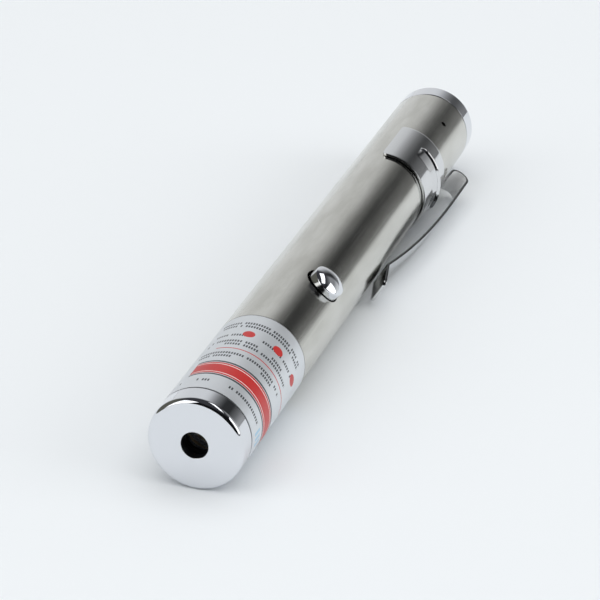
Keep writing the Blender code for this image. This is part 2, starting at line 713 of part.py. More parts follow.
def build_clip_band(clip_axis):
    """Make the sprung band round the tube, its tongue and half of the clip's turn.

    The band and the tongue are one sheet. The tongue leaves the band with the
    band's curve and lies flat where it starts to turn.
    """
    shape = bmesh.new()
    half_wrap = BAND_WRAP / 2
    stops = (-half_wrap, -TONGUE_HALF_ANGLE, TONGUE_HALF_ANGLE, half_wrap)
    turns = [-half_wrap]
    for start, end, steps in zip(stops, stops[1:], (BAND_STEPS, TONGUE_STEPS, BAND_STEPS)):
        turns += [start + (end - start) * step / steps for step in range(1, steps + 1)]
    front = add_line(shape, [(BAND_START, BAND_MIDDLE * math.cos(turn), BAND_MIDDLE * math.sin(turn))
                             for turn in turns])
    rear, corners = extrude(shape, front)
    bmesh.ops.translate(shape, vec=(BAND_WIDTH, 0, 0), verts=corners)

    reach = STRIP_WIDTH / 2 + WELD_DISTANCE
    end = [edge for edge in rear if all(corner.co.y > 0 and abs(corner.co.z) < reach for corner in edge.verts)]
    for step in range(TONGUE_STEPS):
        end, corners = extrude(shape, end)
        for corner in corners:
            corner.co.x += TONGUE_LENGTH / TONGUE_STEPS
            corner.co.y += (INNER_LEG_HEIGHT - corner.co.y) / (TONGUE_STEPS - step)
    bmesh.ops.spin(shape, geom=end + corners, cent=(TURN_PLACE, TURN_HEIGHT, 0), axis=(0, 0, 1),
                   angle=math.pi / 2 - HALF_SPLIT_ANGLE, steps=DOME_STEPS)
    join(sheet_piece("clip_band", shape, clip_axis), build_rib(clip_axis))


def build_rib(clip_axis):
    """Make the pressed rib that runs round the band to the root of the tongue."""
    outline = []
    for radius, start, end in ((BAND_RADIUS + RIB_HEIGHT, -RIB_REACH, TONGUE_HALF_ANGLE),
                               (BAND_MIDDLE, TONGUE_HALF_ANGLE, -RIB_REACH)):
        for step in range(BAND_STEPS + 1):
            turn = start + (end - start) * step / BAND_STEPS
            outline.append((radius * math.sin(turn), radius * math.cos(turn)))
    rib = prism("clip_rib", outline, RIB_WIDTH, clip_axis)
    rib.rotation_euler = (0, -math.pi / 2, 0)
    rib.location = (RIB_START + RIB_WIDTH / 2, 0, 0)
    bevel = rib.modifiers.new("rounded_edges", "BEVEL")
    bevel.width = RIB_ROUND
    bevel.segments = 1
    bevel.angle_limit = SHARP_ANGLE
    return rib


def build_clip_arm(hinge):
    """Make the clip's arm, from the middle of the turn to the flared tip.

    Its frame is on the axis that the arm flexes about, at the middle of the turn.
    """
    path = arc(0, 0, TURN_RADIUS, HALF_SPLIT_ANGLE, math.pi / 2, DOME_STEPS)
    drop = TURN_RADIUS + TURN_HEIGHT - KINK_HEIGHT
    corners = [Vector((0, TURN_RADIUS))]
    for along_share, drop_share in zip(ARM_BEND_SHARES, ARM_DROP_SHARES):
        corners.append(Vector((-ARM_LENGTH * along_share, TURN_RADIUS - drop * drop_share)))
    corners.append(Vector((-ARM_LENGTH, TURN_RADIUS - drop)))
    for step in range(1, ARM_STEPS + 1):
        share = step / ARM_STEPS
        weights = ((1 - share) ** 3, 3 * share * (1 - share) ** 2, 3 * share ** 2 * (1 - share), share ** 3)
        point = sum((corner * weight for corner, weight in zip(corners, weights)), Vector((0, 0)))
        path.append((point.x, point.y))
    path.append((-ARM_LENGTH - TIP_LENGTH, TURN_RADIUS - drop + TIP_FLARE))

    shape = bmesh.new()
    edges = add_line(shape, [(along, height, -STRIP_WIDTH / 2) for along, height in path])
    bmesh.ops.translate(shape, vec=(0, 0, STRIP_WIDTH), verts=extrude(shape, edges)[1])
    sheet_piece("clip_arm", shape, hinge)


# Build


clear_scene()
PARTS = new_collection(PART_NAME)
CUTTERS = new_collection(PART_NAME + "_cutters")

CHROME = new_material("polished_chrome", (0.80, 0.80, 0.82), 0.08, 1.0)
POLISHED = new_material("polished_spring_steel", (0.74, 0.74, 0.75), 0.12, 1.0)
STEEL = new_material("brushed_stainless_steel", (0.62, 0.61, 0.59), 0.32, 1.0)
FOIL = new_material("silver_foil", (0.70, 0.73, 0.76), 0.35, 0.4)
BRASS = new_material("turned_brass", (0.72, 0.55, 0.27), 0.28, 1.0)
GILT = new_material("gilt_diode_can", (0.83, 0.66, 0.33), 0.2, 1.0)
TIN = new_material("tinned_contact", (0.72, 0.72, 0.70), 0.3, 1.0)
SPRING = new_material("spring_wire", (0.55, 0.55, 0.54), 0.3, 1.0)
BLACKENED = new_material("blackened_aluminium", (0.02, 0.02, 0.02), 0.45, 0.6)
CLEAR = new_material("clear_acrylic", (0.80, 0.84, 0.86), 0.05)
BOARD_GREEN = new_material("board_laminate", (0.05, 0.22, 0.10), 0.45)
BLACK_RESIN = new_material("black_resin", (0.03, 0.03, 0.03), 0.5)
WHITE_RESIN = new_material("white_resin", (0.80, 0.80, 0.78), 0.5)
OCHRE_RESIN = new_material("ochre_resin", (0.70, 0.45, 0.12), 0.5)
CELL_JACKET = new_material("cell_jacket", (0.10, 0.13, 0.20), 0.35)
RUBBER = new_material("sealing_rubber", (0.03, 0.03, 0.03), 0.8)

PEN_AXIS = add_empty("pen_axis", None, frame(Vector((1, 0, 0)), Vector((0, 0, -1)), Vector(AXIS_POINT)))
REARWARD = Vector((0, 0, 1))
DECK = add_empty("deck_axis", PEN_AXIS,
                 frame(REARWARD, radial(BUTTON_ANGLE).cross(REARWARD), Vector((0, 0, 0))))
BUTTON_AXIS = add_empty("button_axis", DECK, Matrix.Translation((BUTTON_PLACE, 0, 0)))
PIN_AXIS = add_empty("pin_axis", DECK, Matrix.Translation((PIN_PLACE, 0, 0)))
CLIP_AXIS = add_empty("clip_axis", PEN_AXIS, frame(REARWARD, radial(CLIP_ANGLE), Vector((0, 0, 0))))
CLIP_HINGE = add_empty("clip_hinge", CLIP_AXIS, Matrix.Translation((TURN_PLACE, TURN_HEIGHT, 0)))

build_front_cap(PEN_AXIS)
PIN_HOLE = build_barrel(PEN_AXIS, BUTTON_AXIS, PIN_AXIS)
build_label(PEN_AXIS)
build_module(PEN_AXIS, DECK)
build_board(DECK)
build_switch(DECK, BUTTON_AXIS)
build_button(BUTTON_AXIS)
build_contact(PEN_AXIS)
build_cells(PEN_AXIS)
build_insert(PEN_AXIS, PIN_AXIS, PIN_HOLE)
build_tail(PEN_AXIS)
build_clip_band(CLIP_AXIS)
build_clip_arm(CLIP_HINGE)
bpy.context.view_layer.update()
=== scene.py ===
"""Looks of a pen-shaped laser pointer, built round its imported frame.

Sizes are in millimetres in the pen's own frame: X to the right, Y rearward from the front
face, Z up from the axis. Each sub-assembly builds its pieces there, and one matrix takes
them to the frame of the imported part, in metres. Angles round the pen run from +X to +Z.
"""

import logging
import math
from collections.abc import Callable, Sequence
from dataclasses import dataclass
from enum import Enum

import bmesh
import bpy
import numpy as np
from mathutils import Matrix, Vector


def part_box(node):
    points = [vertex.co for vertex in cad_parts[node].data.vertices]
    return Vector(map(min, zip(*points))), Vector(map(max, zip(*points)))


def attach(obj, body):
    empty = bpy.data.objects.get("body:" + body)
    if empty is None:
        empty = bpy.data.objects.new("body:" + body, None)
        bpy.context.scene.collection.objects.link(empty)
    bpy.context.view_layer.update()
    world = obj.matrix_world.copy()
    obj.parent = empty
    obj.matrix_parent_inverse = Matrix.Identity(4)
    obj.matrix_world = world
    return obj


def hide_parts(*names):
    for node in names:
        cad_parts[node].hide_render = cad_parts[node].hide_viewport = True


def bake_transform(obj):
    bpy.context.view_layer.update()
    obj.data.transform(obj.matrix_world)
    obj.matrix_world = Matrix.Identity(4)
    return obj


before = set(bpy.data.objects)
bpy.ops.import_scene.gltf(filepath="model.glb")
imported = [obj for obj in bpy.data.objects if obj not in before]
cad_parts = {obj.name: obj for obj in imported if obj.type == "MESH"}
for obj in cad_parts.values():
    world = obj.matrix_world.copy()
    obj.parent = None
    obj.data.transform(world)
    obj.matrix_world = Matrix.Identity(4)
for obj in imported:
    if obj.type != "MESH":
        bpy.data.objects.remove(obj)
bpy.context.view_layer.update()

LOG = logging.getLogger("laser_pointer")

MM = 0.001
FULL_TURN = 2 * math.pi
QUARTER = math.pi / 2
# Corners closer than this are one corner.
WELD = 0.0002
SHARP_ANGLE = math.radians(35)
FINE_STEPS = 192
PLAIN_STEPS = 96
SMALL_STEPS = 48
ROUND_STEPS = 6
SUPPORT_SHARE = 0.12
# How far a cutter reaches past what it cuts.
OVERRUN = 0.5
# Most of a noise pattern's values lie in these spans, which are stretched to the full effect.
HAZE_SPAN = (0.3, 0.7)
TINT_SPAN = (0.35, 0.65)

Profile = list[tuple[float, float]]
Colour = tuple[float, float, float, float]
Shape = bmesh.types.BMesh
Edge = bmesh.types.BMEdge
Corner = bmesh.types.BMVert
Piece = bpy.types.Object
Tree = bpy.types.NodeTree
Node = bpy.types.Node
Socket = bpy.types.NodeSocket


class Body(Enum):
    """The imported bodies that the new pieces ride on."""

    PEN = "pen_body"
    BUTTON = "button"
    CLIP_ARM = "clip_arm"
    TAIL_SCREW = "tail_screw"
    TAIL_CAP = "tail_cap"


class Slot(Enum):
    """The record's material slots, passed along with the new pieces but not given to them."""

    CHROME = "polished_chrome"
    CLIP_STEEL = "polished_spring_steel"
    BRUSHED = "brushed_steel"
    FOIL = "silver_foil"
    BRASS = "turned_brass"
    SPRING = "spring_steel"
    LENS = "clear_lens"
    CELL = "cell_jacket"
    RUBBER = "sealing_rubber"


# The pen's frame


@dataclass(frozen=True)
class PenFrame:
    """The pen's axis and front face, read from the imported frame.

    Attributes:
        axis_x: The axis's place along X, in metres.
        axis_z: The axis's height, in metres.
        front: The front face's place along Y, in metres.
    """

    axis_x: float
    axis_z: float
    front: float

    @classmethod
    def read(cls) -> "PenFrame":
        """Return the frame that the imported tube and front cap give."""
        low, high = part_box("barrel")
        return cls((low.x + high.x) / 2, (low.z + high.z) / 2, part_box("front_cap")[0].y)

    @property
    def matrix(self) -> Matrix:
        """Return the matrix from the pen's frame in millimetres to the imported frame."""
        return Matrix.Translation((self.axis_x, self.front, self.axis_z)) @ Matrix.Scale(MM, 4)

    def span(self, node: str) -> tuple[float, float]:
        """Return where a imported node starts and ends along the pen, in millimetres."""
        low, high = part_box(node)
        return (low.y - self.front) / MM, (high.y - self.front) / MM

    def radius(self, node: str) -> float:
        """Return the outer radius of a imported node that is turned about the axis."""
        low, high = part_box(node)
        return (high.x - low.x) / 2 / MM

    def sizes(self, node: str) -> tuple[float, float, float]:
        """Return a turned node's outer radius, and where it starts and ends along the pen."""
        return self.radius(node), *self.span(node)


PEN = PenFrame.read()


def standing(angle: float, place: float = 0.0) -> Matrix:
    """Return the matrix to a place on the pen, with X rearward and Y out of the pen.

    Args:
        angle: Direction of Y round the pen, in degrees.
        place: The place along the pen.

    Returns:
        The matrix to the pen's frame, in millimetres.
    """
    turn = math.radians(angle)
    out = Vector((math.cos(turn), 0, math.sin(turn)))
    rear = Vector((0, 1, 0))
    matrix = Matrix((rear, out, rear.cross(out))).transposed().to_4x4()
    matrix.translation = (0, place, 0)
    return matrix


# Shapes


def rounded(corners: Sequence[tuple[float, float, float]], closed: bool = True,
            steps: int = ROUND_STEPS) -> Profile:
    """Return a turned profile with its corners rounded.

    Args:
        corners: Radius, place and rounding of each corner, in order.
        closed: Whether the profile closes on itself, as a tube's does.
        steps: Number of straight runs in a quarter of a rounding.

    Returns:
        The profile's points, with one close beside each rounding that keeps flat
        faces flat when they are shaded smooth.
    """
    points: Profile = []
    count = len(corners)
    for index, (radius, place, rounding) in enumerate(corners):
        here = Vector((radius, place))
        if not rounding or (not closed and index in (0, count - 1)):
            points.append((radius, place))
            continue
        before = (Vector(corners[index - 1][:2]) - here).normalized()
        after = (Vector(corners[(index + 1) % count][:2]) - here).normalized()
        half = before.angle(after) / 2
        reach = rounding / math.tan(half)
        middle = here + (before + after).normalized() * (rounding / math.sin(half))
        start = here + before * reach - middle
        sweep = start.angle_signed(here + after * reach - middle)
        runs = max(2, round(steps * abs(sweep) / QUARTER))
        support = rounding * SUPPORT_SHARE
        points.append(tuple(here + before * (reach + support)))
        for run in range(runs + 1):
            turn = -sweep * run / runs
            points.append((middle.x + start.x * math.cos(turn) - start.y * math.sin(turn),
                           middle.y + start.x * math.sin(turn) + start.y * math.cos(turn)))
        points.append(tuple(here + after * (reach + support)))
    return points


def turned(profile: Profile, steps: int = PLAIN_STEPS) -> Shape:
    """Return a shape turned about the Y axis.

    Args:
        profile: Radius and place of each point. One that starts off the axis closes
            on itself, and one that starts on it ends on it.
        steps: Number of steps in the full turn.

    Returns:
        The shape, closed, with its faces turned outwards.
    """
    shape = bmesh.new()
    corners = [shape.verts.new((radius, place, 0)) for radius, place in profile]
    edges = [shape.edges.new(pair) for pair in zip(corners, corners[1:])]
    if profile[0][0] > WELD:
        edges.append(shape.edges.new((corners[-1], corners[0])))
    bmesh.ops.spin(shape, geom=corners + edges, cent=(0, 0, 0), axis=(0, 1, 0),
                   angle=FULL_TURN, steps=steps, use_merge=True)
    bmesh.ops.remove_doubles(shape, verts=shape.verts, dist=WELD)
    bmesh.ops.recalc_face_normals(shape, faces=shape.faces)
    return shape


def runs(first: float, stops: Sequence[tuple[float, int]]) -> list[float]:
    """Return values in even steps from a first value through each stop.

    Args:
        first: The first value.
        stops: Each stop, with the number of steps that lead to it.

    Returns:
        The values, the first one and the last stop included.
    """
    values = [first]
    for stop, count in stops:
        start = values[-1]
        values += [start + (stop - start) * step / count for step in range(1, count + 1)]
    return values


def spaced(radius: float, start: float, end: float, count: int) -> Profile:
    """Return evenly spaced profile points at one radius, the two ends included."""
    return [(radius, place) for place in runs(start, [(end, count)])]


def domed(edge: float, place: float, rise: float, steps: int) -> Profile:
    """Return profile points of a domed top, from its middle to its edge.

    Args:
        edge: Radius of the dome's edge.
        place: Place of the edge along the axis.
        rise: Height of the dome's middle above its edge.
        steps: Number of straight runs from the middle to the edge.

    Returns:
        The profile's points, all on one arc.
    """
    size = (edge ** 2 + rise ** 2) / (2 * rise)
    reach = math.asin(edge / size)
    return [(size * math.sin(reach * step / steps),
             place + rise - size * (1 - math.cos(reach * step / steps))) for step in range(steps + 1)]


def wrap(shape: Shape) -> None:
    """Give a turned shape a map of turns round its axis and millimetres along it.

    The seam of the map runs along the underside.

    Args:
        shape: The turned shape, in millimetres round the Y axis.
    """
    layer = shape.loops.layers.uv.new("wrap")

    def turns(point: Vector) -> float:
        """Return the share of a turn between the underside and a point."""
        return (math.atan2(point.z, point.x) + QUARTER) / FULL_TURN % 1

    for face in shape.faces:
        middle = turns(face.calc_center_median())
        for loop in face.loops:
            point = loop.vert.co
            turn = turns(point) if math.hypot(point.x, point.z) > WELD else middle
            turn += round(middle - turn)
            loop[layer].uv = (turn, point.y)


def paint(shape: Shape, index: int, test: Callable[[Vector], bool]) -> None:
    """Give the faces whose middle passes a test another of the piece's finishes.

    Args:
        shape: The shape.
        index: Number of the finish among the piece's finishes.
        test: Tells whether a face's middle is where the finish goes.
    """
    for face in shape.faces:
        if test(face.calc_center_median()):
            face.material_index = index


def outwards(shape: Shape) -> None:
    """Merge a shape's doubles and turn its faces outwards."""
    bmesh.ops.remove_doubles(shape, verts=shape.verts, dist=WELD)
    bmesh.ops.recalc_face_normals(shape, faces=shape.faces)


def extrude_rim(shape: Shape, edges: Sequence[Edge]) -> tuple[list[Edge], list[Corner]]:
    """Extrude edges where they are, and return the new edges and their corners.

    Args:
        shape: The shape.
        edges: The edges to extrude.

    Returns:
        The new edges that lie ahead of the old ones, and their corners.
    """
    made = bmesh.ops.extrude_edge_only(shape, edges=edges)["geom"]
    corners = {item for item in made if isinstance(item, Corner)}
    ahead = [item for item in made
             if isinstance(item, Edge) and corners.issuperset(item.verts)]
    return ahead, list(corners)


def smooth(mesh: bpy.types.Mesh) -> None:
    """Shade a mesh smooth, but for its edges."""
    mesh.shade_smooth()
    mesh.set_sharp_from_angle(angle=SHARP_ANGLE)


def evaluated(piece: Piece) -> bpy.types.Mesh:
    """Return a piece's mesh with its modifiers applied.

    Args:
        piece: The piece, with its modifiers.

    Returns:
        A new mesh that no piece uses yet.
    """
    bpy.context.view_layer.update()
    graph = bpy.context.evaluated_depsgraph_get()
    return bpy.data.meshes.new_from_object(piece.evaluated_get(graph))


def drill(piece: Piece, cutters: Sequence[Piece]) -> None:
    """Cut holes in a piece and remove their cutters.

    Args:
        piece: The piece.
        cutters: Closed pieces that fill the holes, which are used up.
    """
    for cutter in cutters:
        cut = piece.modifiers.new(cutter.name, "BOOLEAN")
        cut.operation = "DIFFERENCE"
        cut.solver = "EXACT"
        cut.object = cutter
    mesh = evaluated(piece)
    piece.modifiers.clear()
    piece.data = mesh
    smooth(mesh)
    for cutter in cutters:
        bpy.data.objects.remove(cutter)


@dataclass(frozen=True)
class ScrewThread:
    """A right-hand screw thread cut into a turned wall.

    Attributes:
        start: Where it starts along the pen.
        end: Where it ends.
        root: Radius at the bottom of its groove.
        crest: Radius at its top.
        pitch: Distance between its turns.
        rings: Number of rings of the mesh in one pitch.
    """

    start: float
    end: float
    root: float
    crest: float
    pitch: float = 0.75
    rings: int = 10

    @property
    def middle(self) -> float:
        """Return the radius half way up the thread."""
        return (self.root + self.crest) / 2

    def wall(self) -> Profile:
        """Return the profile points of the wall that the thread is cut into."""
        count = round((self.end - self.start) / self.pitch * self.rings)
        return spaced(self.middle, self.start, self.end, count)

    def cut(self, shape: Shape) -> None:
        """Move the wall's corners in and out along the helix, less so at its two ends.

        Args:
            shape: The turned shape that holds the wall.
        """
        height = (self.crest - self.root) / 2
        for corner in shape.verts:
            away = math.hypot(corner.co.x, corner.co.z)
            run_in = min(corner.co.y - self.start, self.end - corner.co.y) / self.pitch
            if abs(away - self.middle) > WELD or run_in <= 0:
                continue
            turn = math.atan2(corner.co.z, corner.co.x) / FULL_TURN
            wave = math.cos(FULL_TURN * (corner.co.y / self.pitch + turn))
            share = 1 + height * min(1.0, run_in) * wave / away
            corner.co.x *= share
            corner.co.z *= share


@dataclass(frozen=True)
class CoilSpring:
    """A compression spring wound round the pen's axis, with a closed turn at each end.

    Attributes:
        wire: Diameter of the wire.
        front: Radius of its front turn, to the middle of the wire.
        rear: Radius of its rear turn.
        turns: Number of open turns.
        steps: Number of steps in a turn.
        sides: Number of sides of the wire.
    """

    wire: float
    front: float
    rear: float
    turns: int
    steps: int = 32
    sides: int = 12

    def wound(self, start: float, end: float) -> Shape:
        """Return the spring, wound from one place along the pen to another.

        Args:
            start: Where the spring starts along the pen.
            end: Where it ends.

        Returns:
            The spring, with the ends of its wire closed.
        """
        shape = bmesh.new()
        section = bmesh.ops.create_circle(shape, segments=self.sides, radius=self.wire / 2)["verts"]
        bmesh.ops.translate(shape, vec=(self.front, start + self.wire / 2, 0), verts=section)
        last = section + list(shape.edges)
        open_rise = end - start - 3 * self.wire
        for turns, rise in ((1, self.wire), (self.turns, open_rise), (1, self.wire)):
            last = bmesh.ops.spin(shape, geom=last, cent=(0, 0, 0), axis=(0, 1, 0),
                                  dvec=(0, rise / turns / self.steps, 0), angle=turns * FULL_TURN,
                                  steps=turns * self.steps)["geom_last"]
        bmesh.ops.holes_fill(shape, edges=shape.edges, sides=0)
        for corner in shape.verts:
            share = (corner.co.y - start) / (end - start)
            away = math.hypot(corner.co.x, corner.co.z)
            widen = 1 + (self.rear - self.front) * share / away
            corner.co.x *= widen
            corner.co.z *= widen
        bmesh.ops.recalc_face_normals(shape, faces=shape.faces)
        return shape


# Nodes and colours


def linear(code: str) -> Colour:
    """Return the linear colour of an sRGB hex code such as #c8ccd0.

    Args:
        code: The colour's hex code, with its hash sign.

    Returns:
        The linear red, green and blue, and 1 for opaque.
    """
    shares = [int(code[start:start + 2], 16) / 255 for start in (1, 3, 5)]
    return (*(share / 12.92 if share <= 0.04045 else ((share + 0.055) / 1.055) ** 2.4
              for share in shares), 1.0)


def add(tree: Tree, kind: str, inputs: dict | None = None, **settings: object) -> Node:
    """Add a node with its settings, its values and its links.

    Args:
        tree: The node tree that gets the node.
        kind: The node's type.
        inputs: A value, or an output to link, for each named or numbered input.
        **settings: The node's own properties.

    Returns:
        The new node.
    """
    node = tree.nodes.new(kind)
    for name, value in settings.items():
        setattr(node, name, value)
    for socket, value in (inputs or {}).items():
        if isinstance(value, Socket):
            tree.links.new(value, node.inputs[socket])
        else:
            node.inputs[socket].default_value = value
    return node


def millimetres(tree: Tree, stretch: Sequence[float] = (1, 1, 1)) -> Socket:
    """Return the place on the piece in the pen's frame, in millimetres.

    Args:
        tree: The material's node tree.
        stretch: Factor along each axis, under 1 where the pattern is drawn out.

    Returns:
        The output that carries the place.
    """
    scale = [share / MM for share in stretch]
    centre = (-PEN.axis_x * scale[0], -PEN.front * scale[1], -PEN.axis_z * scale[2])
    place = add(tree, "ShaderNodeTexCoord")
    return add(tree, "ShaderNodeMapping", {"Vector": place.outputs["Object"], "Location": centre,
                                           "Scale": scale}).outputs["Vector"]


def speckle(tree: Tree, grain: float, stretch: Sequence[float] = (1, 1, 1), detail: float = 2.0) -> Socket:
    """Return a mottled pattern with a grain of a real size.

    Args:
        tree: The material's node tree.
        grain: Size of the grain, in millimetres.
        stretch: Factor along each axis, under 1 where the grain is drawn out.
        detail: Number of finer layers.

    Returns:
        The output that carries the pattern, from 0 to 1.
    """
    return add(tree, "ShaderNodeTexNoise", {"Vector": millimetres(tree, stretch), "Scale": 1 / grain,
                                            "Detail": detail}).outputs["Fac"]


# Finishes


@dataclass(frozen=True)
class Finish:
    """A finish: what the real material is and how its surface was made.

    Attributes:
        name: The material's name.
        colour: Its colour, as an sRGB hex code.
        roughness: Its roughness, from 0 to 1.
        metallic: 1 for a bare metal.
    """

    name: str
    colour: str
    roughness: float
    metallic: float = 0.0

    def material(self) -> bpy.types.Material:
        """Return the finish's material, which is made at its first use.

        Returns:
            The material, which all pieces with this finish share.
        """
        known = bpy.data.materials.get(self.name)
        if known:
            return known
        material = bpy.data.materials.new(self.name)
        material.use_nodes = True
        tree = material.node_tree
        shader = tree.nodes["Principled BSDF"]
        shader.inputs["Base Color"].default_value = linear(self.colour)
        shader.inputs["Roughness"].default_value = self.roughness
        shader.inputs["Metallic"].default_value = self.metallic
        self.dress(tree, shader)
        return material

    def dress(self, tree: Tree, shader: Node) -> None:
        """Add the surface's own detail to the shader."""

    def haze(self, tree: Tree, shader: Node, pattern: Socket, spread: float) -> None:
        """Let the roughness wander with a pattern, by a spread to either side.

        Args:
            tree: The material's node tree.
            shader: The shader that gets the roughness.
            pattern: The pattern, from 0 to 1.
            spread: How far the roughness goes to either side of its value.
        """
        low, high = HAZE_SPAN
        value = add(tree, "ShaderNodeMapRange", {
            "Value": pattern, "From Min": low, "From Max": high,
            "To Min": self.roughness - spread, "To Max": self.roughness + spread})
        tree.links.new(value.outputs["Result"], shader.inputs["Roughness"])

    def tint(self, tree: Tree, shader: Node, pattern: Socket, other: str, share: float) -> None:
        """Let the colour lean to another with a pattern, up to a share of the way.

        Args:
            tree: The material's node tree.
            shader: The shader that gets the colour.
            pattern: The pattern, from 0 to 1.
            other: The other colour, as an sRGB hex code.
            share: How far the colour leans at most, from 0 to 1.
        """
        low, high = TINT_SPAN
        lean = add(tree, "ShaderNodeMapRange", {"Value": pattern, "From Min": low, "From Max": high,
                                                "To Min": 0.0, "To Max": share})
        blend = add(tree, "ShaderNodeMix", {"Factor": lean.outputs["Result"], 6: linear(self.colour),
                                            7: linear(other)}, data_type="RGBA")
        tree.links.new(blend.outputs[2], shader.inputs["Base Color"])

    @staticmethod
    def relief(tree: Tree, shader: Node, pattern: Socket, depth: float) -> None:
        """Raise the surface with a pattern, to a real depth in millimetres."""
        bump = add(tree, "ShaderNodeBump", {"Height": pattern, "Distance": depth * MM})
        tree.links.new(bump.outputs["Normal"], shader.inputs["Normal"])


@dataclass(frozen=True)
class PolishedPlate(Finish):
    """Bright chrome over polished metal: a mirror with a faint haze of handling.

    Attributes:
        patch: Size of the hazy patches, in millimetres.
        haze_share: How far the roughness wanders, as a share of itself.
        ripple: Length of the polisher's ripple, in millimetres.
        ripple_depth: Its depth, in millimetres.
    """

    patch: float = 3.0
    haze_share: float = 0.4
    ripple: float = 0.75
    ripple_depth: float = 0.00006

    def dress(self, tree: Tree, shader: Node) -> None:
        """Add the haze and the polisher's shallow ripple."""
        self.haze(tree, shader, speckle(tree, self.patch), self.roughness * self.haze_share)
        self.relief(tree, shader, speckle(tree, self.ripple), self.ripple_depth)


@dataclass(frozen=True)
class BrushedSteel(Finish):
    """Stainless tube brushed along its length, so that reflections smear round it.

    Attributes:
        hairline: Width of a brush mark, in millimetres, drawn coarser than the real 0.02
            so that it shows.
        drawn_out: How much longer than wide a brush mark is.
        depth: Depth of a brush mark, in millimetres.
        spread: How far the roughness wanders between the marks.
        smear: How much wider the reflections smear round the tube than along it.
        cloud: Width of the uneven patches that the brush leaves, in millimetres.
        cloud_stretch: Factor on them along each axis.
        cloud_colour: The colour that they lean to, as an sRGB hex code.
        cloud_share: How far they lean to it.
    """

    hairline: float = 0.22
    drawn_out: float = 80.0
    depth: float = 0.00015
    spread: float = 0.045
    smear: float = 0.75
    cloud: float = 2.6
    cloud_stretch: tuple[float, float, float] = (1, 0.25, 1)
    cloud_colour: str = "#b3b2aa"
    cloud_share: float = 0.5

    def dress(self, tree: Tree, shader: Node) -> None:
        """Add the brush marks, their sheen and a soft cloudiness.

        Args:
            tree: The material's node tree.
            shader: The material's shader.
        """
        marks = speckle(tree, self.hairline, (1, 1 / self.drawn_out, 1), detail=3)
        self.haze(tree, shader, marks, self.spread)
        self.relief(tree, shader, marks, self.depth)
        clouds = speckle(tree, self.cloud, self.cloud_stretch, detail=4)
        self.tint(tree, shader, clouds, self.cloud_colour, self.cloud_share)
        shader.inputs["Anisotropic"].default_value = self.smear
        tangent = add(tree, "ShaderNodeTangent", direction_type="UV_MAP", uv_map="wrap")
        tree.links.new(tangent.outputs["Tangent"], shader.inputs["Tangent"])


@dataclass(frozen=True)
class StripSteel(Finish):
    """Rolled spring steel, stamped and plated: bright, with a faint unevenness.

    Attributes:
        mark: Width of a rolling mark, in millimetres.
        mark_stretch: Factor on the marks along each axis.
        spread: How far the roughness wanders between the marks.
        wave: Length of the sheet's waves, in millimetres.
        wave_depth: Their depth, in millimetres.
    """

    mark: float = 0.3
    mark_stretch: tuple[float, float, float] = (1, 0.1, 1)
    spread: float = 0.03
    wave: float = 3.0
    wave_depth: float = 0.0001

    def dress(self, tree: Tree, shader: Node) -> None:
        """Add the rolling marks and a slight waviness."""
        self.haze(tree, shader, speckle(tree, self.mark, self.mark_stretch), self.spread)
        self.relief(tree, shader, speckle(tree, self.wave), self.wave_depth)


@dataclass(frozen=True)
class CastOrTurned(Finish):
    """A metal or resin whose surface is one even grain, turned, moulded or plated.

    Attributes:
        grain: Size of the grain, in millimetres.
        depth: Depth of the grain, in millimetres.
        other: The colour that patches of it lean to.
        lean: How far they lean, from 0 to 1.
        stretch: Factor on the grain along each axis.
        spread: How far the roughness wanders with the grain.
        patch: How many times larger than the grain the patches are.
    """

    grain: float = 0.2
    depth: float = 0.0015
    other: str = "#000000"
    lean: float = 0.12
    stretch: tuple[float, float, float] = (1, 1, 1)
    spread: float = 0.06
    patch: float = 8.0

    def dress(self, tree: Tree, shader: Node) -> None:
        """Add the grain, and patches of a slightly different colour.

        Args:
            tree: The material's node tree.
            shader: The material's shader.
        """
        grain = speckle(tree, self.grain, self.stretch)
        self.haze(tree, shader, grain, self.spread)
        self.relief(tree, shader, grain, self.depth)
        self.tint(tree, shader, speckle(tree, self.grain * self.patch), self.other, self.lean)


@dataclass(frozen=True)
class MouldedLens(Finish):
    """Clear acrylic, moulded: water-clear, with the faintest moulding haze.

    Attributes:
        clearness: Share of the light that goes through.
        index: Index of refraction.
        patch: Size of the hazy patches, in millimetres.
        haze_share: How far the roughness wanders, as a share of itself.
    """

    clearness: float = 0.95
    index: float = 1.49
    patch: float = 0.8
    haze_share: float = 0.5

    def dress(self, tree: Tree, shader: Node) -> None:
        """Let the light through.

        Args:
            tree: The material's node tree.
            shader: The material's shader.
        """
        shader.inputs["Transmission Weight"].default_value = self.clearness
        shader.inputs["IOR"].default_value = self.index
        self.haze(tree, shader, speckle(tree, self.patch), self.roughness * self.haze_share)


@dataclass(frozen=True)
class Stripe:
    """A printed stripe.

    Attributes:
        span: Where it starts and ends along the pen.
        reach: Where it starts and ends round the pen, in degrees.
        ink: Its colour, as an sRGB hex code.
    """

    span: tuple[float, float]
    reach: tuple[float, float]
    ink: str


